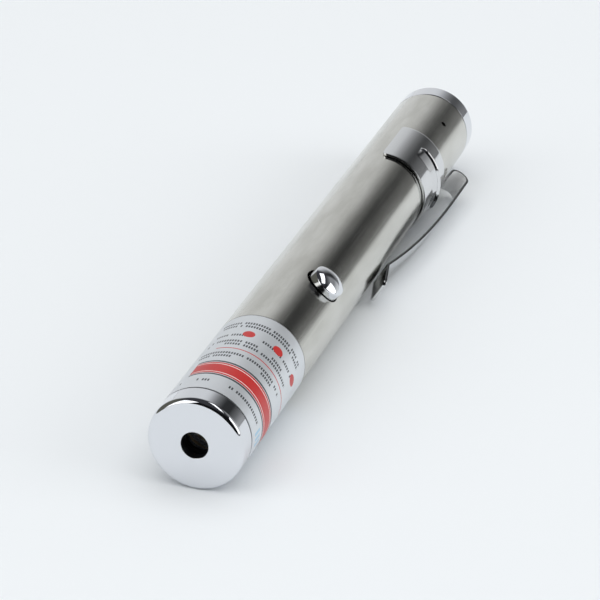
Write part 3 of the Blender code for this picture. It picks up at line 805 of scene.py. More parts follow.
@dataclass(frozen=True)
class PrintedFoil(Finish):
    """Silvered film label: a satin metal sheen under plain printed stripes and marks.

    The print is plain bars, ticks and dots, on the film's own map of turns and
    millimetres. It holds no letters and no signs.

    Attributes:
        radius: Radius of the film.
        tick: Distance between the ticks.
        tick_share: Share of that distance that a tick takes.
        group: Number of ticks that are kept or left out together.
        gaps: Share of single ticks and of groups that are left out.
        row: Distance between the rows of ticks.
        row_share: Where a tick starts and ends in its row, as shares of the row.
        row_shares: Where groups of rows start and end, in rows.
        ruled: The ruled length, a whole number of rows.
        dot: Radius of the dots.
        patch: Size of the film's hazy patches, in millimetres.
        spread: How far its roughness wanders.
        wrinkle: Length of the film's wrinkles, in millimetres.
        wrinkle_depth: Their depth, in millimetres.
    """

    RED = "#b92a28"
    DARK = "#3a3d42"
    BLUE = "#9fc4dc"
    PALE = "#e8d6d4"
    STRIPES = (
        Stripe((7.9, 8.25), (-30, 122), DARK),
        Stripe((8.4, 11.6), (-30, 122), RED),
        Stripe((8.75, 8.9), (-28, 120), PALE),
        Stripe((11.1, 11.25), (-28, 120), PALE),
        Stripe((11.75, 12.1), (-30, 122), DARK),
        Stripe((16.1, 16.3), (-22, 112), RED),
        Stripe((5.0, 7.0), (-15, -11), BLUE),
        Stripe((5.0, 7.0), (-8, -4), BLUE),
        Stripe((5.0, 7.0), (-1, 3), BLUE))
    # Each dot's angle round the pen, in degrees, and its place along it.
    DOTS = ((85, 21.0), (45, 21.0), (5, 21.0))
    # Where the rows of ticks start and end round the pen, in degrees.
    TICK_REACH = (10, 128)

    radius: float = 7.0
    tick: float = 0.4
    tick_share: float = 0.62
    group: float = 6.0
    gaps: tuple[float, float] = (0.15, 0.2)
    row: float = 0.95
    row_share: tuple[float, float] = (0.18, 0.82)
    row_shares: tuple[float, ...] = (6, 7, 14, 16, 18, 20, 21, 22, 24, 26)
    ruled: float = 24.7
    dot: float = 0.9
    patch: float = 1.5
    spread: float = 0.05
    wrinkle: float = 2.5
    wrinkle_depth: float = 0.002

    @staticmethod
    def inside(tree: Tree, value: Socket, span: Sequence[float]) -> Socket:
        """Return 1 where a value lies in a span, and 0 elsewhere."""
        return add(tree, "ShaderNodeMath", {0: value, 1: (span[0] + span[1]) / 2,
                                            2: (span[1] - span[0]) / 2}, operation="COMPARE").outputs[0]

    @staticmethod
    def both(tree: Tree, *masks: Socket) -> Socket:
        """Return 1 where all the masks are 1.

        Args:
            tree: The material's node tree.
            *masks: Outputs that carry 0 or 1.

        Returns:
            The output that carries the shared mask.
        """
        result = masks[0]
        for mask in masks[1:]:
            result = add(tree, "ShaderNodeMath", {0: result, 1: mask}, operation="MULTIPLY").outputs[0]
        return result

    @staticmethod
    def turns(reach: Sequence[float]) -> tuple[float, ...]:
        """Return angles round the pen as shares of a turn from the underside."""
        return tuple((angle + 90) / 360 for angle in reach)

    def ticks(self, tree: Tree, turn: Socket, place: Socket) -> Socket:
        """Return the mask of the rows of ticks, with some left out by chance.

        Args:
            tree: The material's node tree.
            turn: The share of a turn round the pen.
            place: The place along the pen, in millimetres.

        Returns:
            The output that carries the mask.
        """
        count = round(FULL_TURN * self.radius / self.tick)
        cell = add(tree, "ShaderNodeMath", {0: turn, 1: float(count)}, operation="MULTIPLY").outputs[0]
        line = add(tree, "ShaderNodeMath", {0: place, 1: self.row}, operation="DIVIDE").outputs[0]
        bars, lines = (
            self.inside(tree, add(tree, "ShaderNodeMath", {0: value}, operation="FRACT").outputs[0], span)
            for value, span in ((cell, (0.0, self.tick_share)), (line, self.row_share)))
        group = add(tree, "ShaderNodeMath", {0: cell, 1: self.group}, operation="DIVIDE").outputs[0]
        row_number = add(tree, "ShaderNodeMath", {0: line}, operation="FLOOR").outputs[0]
        kept = []
        for step, least in zip((cell, group), self.gaps):
            place_in_row = add(tree, "ShaderNodeMath", {0: step}, operation="FLOOR").outputs[0]
            spot = add(tree, "ShaderNodeCombineXYZ", {"X": place_in_row, "Y": row_number}).outputs[0]
            chance = add(tree, "ShaderNodeTexWhiteNoise", {"Vector": spot}, noise_dimensions="2D")
            kept.append(self.inside(tree, chance.outputs["Value"], (least, 1.0)))
        whole = self.ruled + self.row * 2
        share = add(tree, "ShaderNodeMath", {0: place, 1: whole}, operation="DIVIDE").outputs[0]
        rows = add(tree, "ShaderNodeValToRGB", {"Fac": share})
        rows.color_ramp.interpolation = "CONSTANT"
        rows.color_ramp.elements.remove(rows.color_ramp.elements[-1])
        rows.color_ramp.elements[0].color = (0, 0, 0, 1)
        for number, start in enumerate(self.row_shares):
            stop = rows.color_ramp.elements.new(start * self.row / whole)
            stop.color = (0, 0, 0, 1) if number % 2 else (1, 1, 1, 1)
        reach = self.inside(tree, turn, self.turns(self.TICK_REACH))
        return self.both(tree, bars, lines, *kept, rows.outputs["Color"], reach)

    def dress(self, tree: Tree, shader: Node) -> None:
        """Print the stripes, ticks and dots, and let the film wrinkle a little.

        Args:
            tree: The material's node tree.
            shader: The material's shader.
        """
        wrapped = add(tree, "ShaderNodeUVMap", uv_map="wrap").outputs["UV"]
        turn, place, _ = add(tree, "ShaderNodeSeparateXYZ", {"Vector": wrapped}).outputs
        prints = [(self.both(tree, self.inside(tree, place, stripe.span),
                             self.inside(tree, turn, self.turns(stripe.reach))), stripe.ink)
                  for stripe in self.STRIPES]
        prints.append((self.ticks(tree, turn, place), self.DARK))
        round_way = FULL_TURN * self.radius
        flat = add(tree, "ShaderNodeVectorMath", {0: wrapped, 1: (round_way, 1, 0)}, operation="MULTIPLY")
        for angle, along in self.DOTS:
            middle = (self.turns((angle,))[0] * round_way, along, 0)
            away = add(tree, "ShaderNodeVectorMath", {0: flat.outputs[0], 1: middle}, operation="DISTANCE")
            dot = add(tree, "ShaderNodeMath", {0: away.outputs["Value"], 1: self.dot},
                      operation="LESS_THAN").outputs[0]
            prints.append((dot, self.RED))
        colour = add(tree, "ShaderNodeRGB").outputs[0]
        colour.default_value = linear(self.colour)
        bare = None
        for mask, ink in prints:
            colour = add(tree, "ShaderNodeMix", {"Factor": mask, 6: colour, 7: linear(ink)},
                         data_type="RGBA").outputs[2]
            clear = add(tree, "ShaderNodeMath", {0: 1.0, 1: mask}, operation="SUBTRACT").outputs[0]
            bare = self.both(tree, bare, clear) if bare else clear
        tree.links.new(colour, shader.inputs["Base Color"])
        sheen = add(tree, "ShaderNodeMath", {0: bare, 1: self.metallic}, operation="MULTIPLY").outputs[0]
        tree.links.new(sheen, shader.inputs["Metallic"])
        self.haze(tree, shader, speckle(tree, self.patch), self.spread)
        self.relief(tree, shader, speckle(tree, self.wrinkle), self.wrinkle_depth)


class Finishes:
    """The finishes of the pen, each named for the real material."""

    # Chrome plate on turned brass: a cool, sharp mirror of the room.
    CHROME = PolishedPlate("polished_chrome_plate", "#e2e4e8", 0.05, 1.0)
    # Stainless tube brushed lengthwise: a warm satin that smears what it reflects round the tube.
    TUBE = BrushedSteel("brushed_stainless_tube", "#d3d2cc", 0.18, 1.0)
    # Stamped and nickel-plated spring strip: a slightly grey mirror that waves a little.
    CLIP = StripSteel("plated_spring_strip", "#dbdcdd", 0.1, 1.0)
    # The same strip inside the turn, pale and dull: painted reflection, a half-diffuse near-white that
    # stands in for the bright reflection there.
    CLIP_INSIDE_PAINTED_REFLECTION = StripSteel("pale_inside_painted_reflection", "#f4f5f5", 0.4, 0.12)
    # Aluminised film under flat inks: pale silver with a soft sheen, and no shine on the print.
    FOIL = PrintedFoil("printed_silver_film", "#d6dade", 0.36, 0.55)
    # Brass turned on an automatic lathe: yellow, with fine rings round it.
    BRASS = CastOrTurned("turned_brass", "#c9a96a", 0.28, 1.0, 0.12, 0.001, "#9a7434", 0.25, (0.1, 1, 0.1))
    # Gold flash on a drawn can: deep yellow and smooth.
    GILT = CastOrTurned("gilt_diode_can", "#e3c57c", 0.18, 1.0, 0.3, 0.0004, "#b98f3c", 0.15)
    # Dip-tinned copper: a greyish soft lustre.
    TIN = CastOrTurned("tinned_copper", "#d6d5cf", 0.3, 1.0, 0.15, 0.001, "#a8a69c", 0.3)
    # Hard-drawn steel wire: grey, with a faint grain from the die.
    WIRE = CastOrTurned("drawn_spring_wire", "#b9b9b6", 0.28, 1.0, 0.08, 0.0008, "#77766f", 0.25)
    # Rolled steel pin, made nearly black as painted shade of the deep hole it sits in, with a low oily
    # sheen.
    PIN_PAINTED_SHADE = CastOrTurned("pin_painted_shade_steel", "#1b1b1d", 0.42, 0.7, 0.1, 0.001, "#2e2d2b", 0.3)
    # Black-anodised aluminium: swallows stray light, and shines only at a flat angle. On the front cap's
    # opening and well it is also painted shade of the deep hole.
    BLACK_METAL = CastOrTurned("black_anodised_aluminium", "#161618", 0.45, 0.6, 0.1, 0.001, "#2c2c30", 0.3)
    # Moulded acrylic: water-clear.
    LENS = MouldedLens("moulded_acrylic_lens", "#eef4f6", 0.03)
    # Glass-epoxy board under green mask: half gloss, with the weave just showing through.
    BOARD = CastOrTurned("glass_epoxy_board", "#1d6b38", 0.42, 0.0, 0.25, 0.002, "#0f4a25", 0.5)
    # Moulded epoxy: dull black with a fine grain.
    BLACK_RESIN = CastOrTurned("moulded_black_resin", "#262628", 0.5, 0.0, 0.1, 0.003, "#3a3a3c", 0.3)
    # Moulded nylon: off-white and a little cloudy.
    WHITE_RESIN = CastOrTurned("moulded_white_resin", "#e4e3dc", 0.48, 0.0, 0.15, 0.002, "#cfccc0", 0.4)
    # Dipped resin: ochre, with a soft gloss.
    OCHRE_RESIN = CastOrTurned("cast_ochre_resin", "#c98f35", 0.42, 0.0, 0.12, 0.002, "#a56f20", 0.4)
    # Heat-shrunk film: slate blue, with shallow shrink waves.
    JACKET = CastOrTurned("shrunk_film_jacket", "#39445a", 0.32, 0.0, 0.6, 0.003, "#2b3344", 0.35)
    # Nickel-plated cell ends: a warm white metal.
    NICKEL = CastOrTurned("nickel_plated_can", "#c9c7c0", 0.24, 1.0, 0.2, 0.0008, "#a3a098", 0.25)
    # Nitrile rubber: matt black.
    RUBBER = CastOrTurned("nitrile_rubber", "#1c1c1e", 0.75, 0.0, 0.1, 0.003, "#303032", 0.4)


# Pieces


def finished(name: str, shape: Shape, finishes: Sequence[Finish]) -> bpy.types.Mesh:
    """Write a shape to a new mesh with its finishes, and free the shape.

    Args:
        name: The mesh's name.
        shape: The shape, in metres.
        finishes: Its finishes, the main one first.

    Returns:
        The new mesh.
    """
    mesh = bpy.data.meshes.new(name)
    shape.to_mesh(mesh)
    shape.free()
    for finish in finishes:
        mesh.materials.append(finish.material())
    return mesh


def shown(name: str, data: bpy.types.ID) -> Piece:
    """Return a new object that shows a mesh, a light or a camera in the scene.

    Args:
        name: The object's name.
        data: What it shows.

    Returns:
        The object, at the origin.
    """
    thing = bpy.data.objects.new(name, data)
    bpy.context.scene.collection.objects.link(thing)
    return thing


class SubAssembly:
    """What every sub-assembly does to make and dress its pieces."""

    def make(self, name: str, shape: Shape, finishes: Sequence[Finish],
             place: Matrix | None = None) -> Piece:
        """Write a shape to a piece at the origin, with its place in its mesh.

        Args:
            name: The piece's name.
            shape: The shape in millimetres, in the pen's frame or the frame of place.
            finishes: Its finishes, the main one first.
            place: Matrix from the shape's own frame to the pen's.

        Returns:
            The new piece.
        """
        bmesh.ops.transform(shape, matrix=PEN.matrix @ (place or Matrix.Identity(4)), verts=shape.verts)
        mesh = finished(name, shape, finishes)
        smooth(mesh)
        return shown(name, mesh)

    @staticmethod
    def mount(piece: Piece, body: Body, slot: Slot, *nodes: str) -> None:
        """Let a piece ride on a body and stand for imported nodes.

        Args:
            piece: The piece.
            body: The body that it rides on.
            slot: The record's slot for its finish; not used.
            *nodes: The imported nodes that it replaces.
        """
        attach(piece, body.value)
        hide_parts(*nodes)
        LOG.info("%s rides on %s for %s", piece.name, body.value, ", ".join(nodes))

    @staticmethod
    def dress_node(node: str, finish: Finish) -> None:
        """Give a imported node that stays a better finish.

        Args:
            node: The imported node.
            finish: Its finish.
        """
        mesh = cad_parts[node].data
        mesh.materials.clear()
        mesh.materials.append(finish.material())
        LOG.info("%s keeps its solid, in %s", node, finish.name)


@dataclass
class FrontEnd(SubAssembly):
    """The polished front cap with the beam opening in its flat face.

    Attributes:
        skirt: Length of the part that shows, from the face to the joint line.
        rim: Rounding between the face and the skirt.
        face_wall: Thickness of the flat face.
        aperture: Radius of the beam opening.
        edge: Rounding of the beam opening's edge.
        well: Radius of the well behind the face.
        spigot: Radius of the spigot in the tube.
    """

    skirt: float = 3.6
    rim: float = 0.8
    face_wall: float = 1.3
    aperture: float = 2.0
    edge: float = 0.08
    well: float = 4.6
    spigot: float = 6.0

    def inside(self, point: Vector) -> bool:
        """Tell whether a point is on the walls of the opening or the well, which are blackened against
        stray light and are also painted shade of the deep hole.
        """
        away = math.hypot(point.x, point.z)
        return away < self.well + WELD and point.y > self.edge

    def build(self) -> None:
        """Build the cap, with its opening blackened against stray light, which also paints the shade of the
        deep opening.
        """
        radius, start, end = PEN.sizes("front_cap")
        shape = turned(rounded([
            (self.spigot, end, self.edge), (self.spigot, self.skirt, 0),
            (radius, self.skirt, self.edge), (radius, start, self.rim),
            (self.aperture, start, self.edge), (self.aperture, self.face_wall, 0),
            (self.well, self.face_wall, 0), (self.well, end, self.edge)]), FINE_STEPS)
        # Painted shade, partly: the opening's walls and the well are black, as the deep hole looks.
        paint(shape, 1, self.inside)
        cap = self.make("polished_front_cap", shape, [Finishes.CHROME, Finishes.BLACK_METAL])
        self.mount(cap, Body.PEN, Slot.CHROME, "front_cap")


@dataclass
class Tube(SubAssembly):
    """The brushed tube, with its label seat and the holes for the button and the pin.

    Attributes:
        wall: Wall of the tube.
        seat_depth: Depth of the seat under the label.
        seat_gap: Clearance past the label's rear edge.
        edge: Rounding of the tube's rear edge.
        ring_spacing: Distance between the rings of the mesh.
    """

    wall: float = 0.7
    seat_depth: float = 0.25
    seat_gap: float = 0.13
    edge: float = 0.06
    ring_spacing: float = 0.5

    def build(self, holes: Sequence[Piece]) -> None:
        """Build the tube and cut its holes.

        Args:
            holes: The cutters for the button's hole and the pin's, which are used up.
        """
        radius, start, end = PEN.sizes("barrel")
        bore = radius - self.wall
        seat = radius - self.seat_depth
        shoulder = PEN.span("label_sleeve")[1] + self.seat_gap
        rings = round((end - shoulder) / self.ring_spacing)
        rear = rounded([(bore, end, 0), (radius, end, self.edge), (radius, shoulder, 0)], closed=False)
        outside = spaced(radius, end - 2 * self.edge, shoulder, rings)
        front = [(seat, shoulder), (seat, start), (bore, start)]
        shape = turned(rear[:-1] + outside[1:] + front, FINE_STEPS)
        wrap(shape)
        tube = self.make("brushed_tube", shape, [Finishes.TUBE])
        drill(tube, holes)
        self.mount(tube, Body.PEN, Slot.BRUSHED, "barrel")


@dataclass
class Label(SubAssembly):
    """The printed silver film round the front of the tube.

    Attributes:
        thickness: Thickness of the film.
    """

    thickness: float = 0.12

    def build(self) -> None:
        """Build the sleeve, with a map round it for its print."""
        radius, start, end = PEN.sizes("label_sleeve")
        inner = radius - self.thickness
        shape = turned([(radius, end), (radius, start), (inner, start), (inner, end)], FINE_STEPS)
        wrap(shape)
        sleeve = self.make("printed_film", shape, [Finishes.FOIL])
        self.mount(sleeve, Body.PEN, Slot.FOIL, "label_sleeve")


@dataclass
class Button(SubAssembly):
    """The domed button, the hole it stands in, and the pin's hole in line with it.

    Attributes:
        angle: Direction of the button and the pin round the pen, in degrees.
        lean: How far the hole's middle lies above the button's, in degrees: its play.
        place: The button's place along the pen.
        radius: The button's radius.
        top: Height of the dome's middle above the axis.
        dome: Rise of the dome.
        edge: Rounding between the dome and the side.
        flange: Radius of the flange at the button's foot.
        flange_span: Lowest and highest height of the flange.
        gap: Clearance round the button in its hole.
        pin_place: The pin's place along the pen.
        pin_radius: The pin's radius.
        pin_gap: Clearance round the pin in its hole.
        pin_span: Lowest and highest height of the pin.
        pin_edge: Rounding of the pin's ends.
        pin_bore: Radius of the rolled pin's bore.
    """

    angle: float = 46.7
    lean: float = 0.9
    place: float = 43.5
    radius: float = 2.65
    top: float = 8.9
    dome: float = 0.9
    edge: float = 0.22
    flange: float = 3.4
    flange_span: tuple[float, float] = (4.2038, 5.0038)
    gap: float = 0.3
    pin_place: float = 110.3
    pin_radius: float = 0.4
    pin_gap: float = 0.1
    pin_span: tuple[float, float] = (5.2, 6.6)
    pin_edge: float = 0.06
    pin_bore: float = 0.24

    def cutter(self, name: str, radius: float, foot: float, seat: Matrix) -> Piece:
        """Return the cutter of a round hole, from its foot out past the tube.

        Args:
            name: The cutter's name.
            radius: The hole's radius.
            foot: Height of the hole's foot above the axis.
            seat: The matrix to the hole's place.

        Returns:
            The cutter, a closed piece.
        """
        reach = PEN.radius("barrel") + OVERRUN
        shape = turned([(0, reach), (radius, reach), (radius, foot), (0, foot)], PLAIN_STEPS)
        return self.make(name, shape, [], seat)

    def button_hole(self) -> Piece:
        """Return the cutter of the button's hole."""
        return self.cutter("button_hole", self.radius + self.gap, self.flange_span[0],
                           standing(self.angle + self.lean, self.place))

    def pin_hole(self) -> Piece:
        """Return the cutter of the pin's hole, which runs through the tube and the insert."""
        return self.cutter("pin_hole", self.pin_radius + self.pin_gap, self.pin_span[0] - OVERRUN,
                           standing(self.angle, self.pin_place))

    def build(self) -> None:
        """Build the button and the pin."""
        low, high = self.flange_span
        shoulder = self.top - self.dome
        crown = domed(self.radius, shoulder, self.dome, 2 * ROUND_STEPS)
        shape = turned(crown[:-1] + rounded([
            (*crown[-2], 0), (*crown[-1], self.edge), (self.radius, high, 0), (self.flange, high, 0),
            (self.flange, low, 0), (0, low, 0)], closed=False)[1:], PLAIN_STEPS)
        button = self.make("chrome_button", shape, [Finishes.CHROME], standing(self.angle, self.place))
        self.mount(button, Body.BUTTON, Slot.CHROME, "button_cap")

        foot, head = self.pin_span
        shape = turned(rounded([
            (self.pin_bore, head, 0), (self.pin_radius, head, self.pin_edge),
            (self.pin_radius, foot, self.pin_edge), (self.pin_bore, foot, 0)]), SMALL_STEPS)
        # The pin is nearly black: painted shade of its hole.
        pin = self.make("rolled_pin", shape, [Finishes.PIN_PAINTED_SHADE], standing(self.angle, self.pin_place))
        self.mount(pin, Body.PEN, Slot.SPRING, "insert_pin")


@dataclass
class TailEnd(SubAssembly):
    """The polished tail cap with its sealing ring and spring, and the insert it screws into.

    Attributes:
        rim: Rounding of the cap's end.
        skirt: Length of the part that shows.
        spigot: Radius of the threaded spigot.
        neck: Length of the spigot's plain neck, where the ring sits.
        bore: Radius of the spigot's bore.
        end_wall: Thickness of the end.
        edge: Rounding of the small edges.
        depth: Depth of the thread.
        insert_bore: Radius of the insert's bore, at the top of its thread.
        lead: Length of the plain ends of both threads.
        spring: The spring that presses the cells forward.
    """

    rim: float = 0.8
    skirt: float = 3.9
    spigot: float = 4.95
    neck: float = 1.5
    bore: float = 4.0
    end_wall: float = 2.1
    edge: float = 0.08
    depth: float = 0.4
    insert_bore: float = 5.1
    lead: float = 0.3
    spring: CoilSpring = CoilSpring(0.5, 2.4, 3.45, 5)

    def build(self, pin_hole: Piece) -> None:
        """Build the cap, the ring, the spring and the insert.

        Args:
            pin_hole: The cutter of the pin's hole, which is used up.
        """
        radius, start, end = PEN.sizes("tail_cap")
        shoulder = end - self.skirt
        floor = end - self.end_wall
        thread = ScrewThread(start + self.lead, shoulder - self.neck, self.spigot - self.depth, self.spigot)
        head = rounded([(0, end, 0), (radius, end, self.rim), (radius, shoulder, self.edge),
                        (thread.middle, shoulder, 0)], closed=False)
        foot = rounded([(thread.middle, start + self.lead / 2, 0), (thread.middle, start, self.edge),
                        (self.bore, start, self.edge), (self.bore, floor, 0), (0, floor, 0)], closed=False)
        shape = turned(head + thread.wall()[::-1] + foot, FINE_STEPS)
        thread.cut(shape)
        cap = self.make("polished_tail_cap", shape, [Finishes.CHROME])
        self.mount(cap, Body.TAIL_CAP, Slot.CHROME, "tail_cap")

        coil = self.make("tail_coil", self.spring.wound(*PEN.span("tail_spring")), [Finishes.WIRE])
        self.mount(coil, Body.TAIL_SCREW, Slot.SPRING, "tail_spring")

        radius, start, end = PEN.sizes("tail_insert")
        thread = ScrewThread(start + self.lead, end - self.lead, self.insert_bore,
                             self.insert_bore + self.depth)
        outside = rounded([(thread.middle, start, 0), (radius, start, self.edge), (radius, end, self.edge),
                           (thread.middle, end, 0)], closed=False)
        shape = turned(outside + thread.wall()[::-1], FINE_STEPS)
        thread.cut(shape)
        insert = self.make("threaded_insert", shape, [Finishes.BRASS])
        drill(insert, [pin_hole])
        self.mount(insert, Body.PEN, Slot.BRASS, "tail_insert")

        radius, start, end = PEN.sizes("tail_o_ring")
        half = (end - start) / 2
        steps = 2 * ROUND_STEPS
        section = [(radius - half + half * math.cos(FULL_TURN * step / steps),
                    (start + end) / 2 - half * math.sin(FULL_TURN * step / steps))
                   for step in range(steps)]
        ring = self.make("sealing_ring", turned(section), [Finishes.RUBBER])
        self.mount(ring, Body.TAIL_CAP, Slot.RUBBER, "tail_o_ring")


@dataclass
class PowerAndLens(SubAssembly):
    """The two cells, and the lens with the spring that holds it against its ring.

    Attributes:
        nub: Radius of a cell's front nub.
        nub_length: Its length.
        nub_edges: Roundings of its end and its foot.
        crimp: Radius inside the jacket's crimped rim.
        lip: Height of the crimped rim.
        lip_edge: Rounding of its inner edge.
        cell_edge: Rounding of the cell's two ends.
        lens_edge: Length of the lens's cylindrical edge.
        lens_edge_round: Rounding of its front edge.
        lens_crown: Radius of its domed rear side.
        lens_spring: The spring behind it.
    """

    nub: float = 1.9
    nub_length: float = 1.0
    nub_edges: tuple[float, float] = (0.2, 0.1)
    crimp: float = 5.2
    lip: float = 0.18
    lip_edge: float = 0.08
    cell_edge: float = 0.3
    lens_edge: float = 0.8
    lens_edge_round: float = 0.08
    lens_crown: float = 2.7
    lens_spring: CoilSpring = CoilSpring(0.4, 3.0, 3.0, 4)

    def bare(self, start: float, end: float) -> Callable[[Vector], bool]:
        """Return the test for the bare ends of a cell inside its jacket's rims.

        Args:
            start: Where the cell starts along the pen.
            end: Where it ends.

        Returns:
            The test, for a point in the pen's frame.
        """
        def test(point: Vector) -> bool:
            """Tell whether a point is on one of the two bare ends.

            Args:
                point: The point, in the pen's frame.

            Returns:
                Whether it lies inside a rim, close to an end.
            """
            away = math.hypot(point.x, point.z)
            near_end = min(point.y - start, end - point.y) < 2 * self.nub_length
            return away < self.crimp + WELD and near_end
        return test

    def build(self) -> None:
        """Build the cells, the lens and its spring."""
        for node in ("cell_1", "cell_2"):
            radius, start, end = PEN.sizes(node)
            shoulder = start + self.nub_length
            rim = shoulder - self.lip
            floor = end - self.lip
            tip, foot = self.nub_edges
            shape = turned(rounded([
                (0, start, 0), (self.nub, start, tip), (self.nub, shoulder, foot),
                (self.crimp, shoulder, 0), (self.crimp, rim, self.lip_edge),
                (radius, rim, self.cell_edge), (radius, end, self.cell_edge),
                (self.crimp, end, self.lip_edge), (self.crimp, floor, 0), (0, floor, 0)],
                closed=False), PLAIN_STEPS)
            paint(shape, 1, self.bare(start, end))
            cell = self.make("jacketed_" + node, shape, [Finishes.JACKET, Finishes.NICKEL])
            self.mount(cell, Body.PEN, Slot.CELL, node)

        radius, start, end = PEN.sizes("collimating_lens")
        edge = start + self.lens_edge
        crown = domed(self.lens_crown, edge, end - edge, 2 * ROUND_STEPS)
        flat = rounded([(radius, edge, 0), (radius, start, self.lens_edge_round), (0, start, 0)],
                       closed=False)
        lens = self.make("moulded_lens", turned(crown + flat, PLAIN_STEPS), [Finishes.LENS])
        self.mount(lens, Body.PEN, Slot.LENS, "collimating_lens")

        coil = self.make("lens_coil", self.lens_spring.wound(*PEN.span("lens_spring")), [Finishes.WIRE])
        self.mount(coil, Body.PEN, Slot.SPRING, "lens_spring")


@dataclass
class PocketClip(SubAssembly):
    """The clip: a sprung band round the tube, a tongue, a turn, an arm and its tip.

    The whole clip is one strip of sheet, bent at the turn when the arm is lifted.

    Attributes:
        angle: Direction of the clip round the pen, in degrees.
        sheet: Thickness of the sheet.
        edge: Rounding of the sheet's stamped edges.
        band_span: Where the band starts and ends along the pen.
        wrap_angle: How far the band goes round the pen, in degrees.
        bore: Inner radius of the band.
        corner: Rounding of the band's free corners.
        strip: Width of the tongue and the arm.
        tongue_end: Where the turn starts along the pen.
        leg: Height of the tongue's middle surface at the turn.
        turn: Radius of the turn's middle surface.
        arm: Length of the arm from the turn to its kink.
        kink: Height of the middle surface at the kink.
        bend_shares: Places of the arm's two guide points, as shares of its length.
        drop_shares: Their drops, as shares of the drop from the turn to the kink.
        tip: Length of the flared tip.
        flare: Rise of the flared tip.
        tip_corner: Rounding of the tip's corners.
    """

    angle: float = -31.787
    sheet: float = 0.4
    edge: float = 0.09
    band_span: tuple[float, float] = (89.3, 101.4)
    wrap_angle: float = 243.0
    bore: float = 7.1
    corner: float = 0.5
    strip: float = 4.4
    tongue_end: float = 107.0
    leg: float = 7.35
    turn: float = 1.55
    arm: float = 39.0
    kink: float = 7.5
    bend_shares: tuple[float, float] = (0.31, 0.64)
    drop_shares: tuple[float, float] = (0.04, 0.03)
    tip: float = 5.5
    flare: float = 1.3
    tip_corner: float = 0.9

    @property
    def seat(self) -> Matrix:
        """Return the matrix from the clip's frame, with X rearward and Y out at the clip."""
        return standing(self.angle)

    @property
    def middle(self) -> float:
        """Return the radius of the band's middle surface."""
        return self.bore + self.sheet / 2


@dataclass(frozen=True)
class BandRib:
    """The rib pressed into the clip's band: a long slope, a steep step and a steep rear side.

    Attributes:
        start: Where its slope starts along the pen.
        knee: Where the slope turns into the step.
        knee_height: Its height there.
        crest: Where the step ends.
        end: Where its rear side ends.
        height: Its height above the band, before the crest is rounded.
        soft: Rounding of its crest.
        foot: Rounding of its feet.
        level: Length of the level stretch on either side of it.
        reach: How far it runs up the band from the clip's middle, in degrees.
        fade: Length of its rounded end, in degrees.
    """

    start: float = 94.0
    knee: float = 96.1
    knee_height: float = 0.32
    crest: float = 96.5
    end: float = 97.15
    height: float = 0.72
    soft: float = 0.08
    foot: float = 0.08
    level: float = 1.0
    reach: float = 83.0
    fade: float = 7.0

    def rise(self, place: float, turn: float) -> float:
        """Return the rib's height at a place and an angle up from the clip's middle.

        Args:
            place: The place along the pen.
            turn: The angle, in degrees.

        Returns:
            The height above the band.
        """
        section = rounded([
            (0, self.start - self.level, 0), (0, self.start, self.foot),
            (self.knee_height, self.knee, self.foot), (self.height, self.crest, self.soft),
            (0, self.end, self.foot), (0, self.end + self.level, 0)], closed=False)
        heights, places = zip(*section)
        ends = min(1.0, max(0.0, (self.reach - turn) / self.fade))
        return float(np.interp(place, places, heights)) * math.sqrt(ends * (2 - ends))


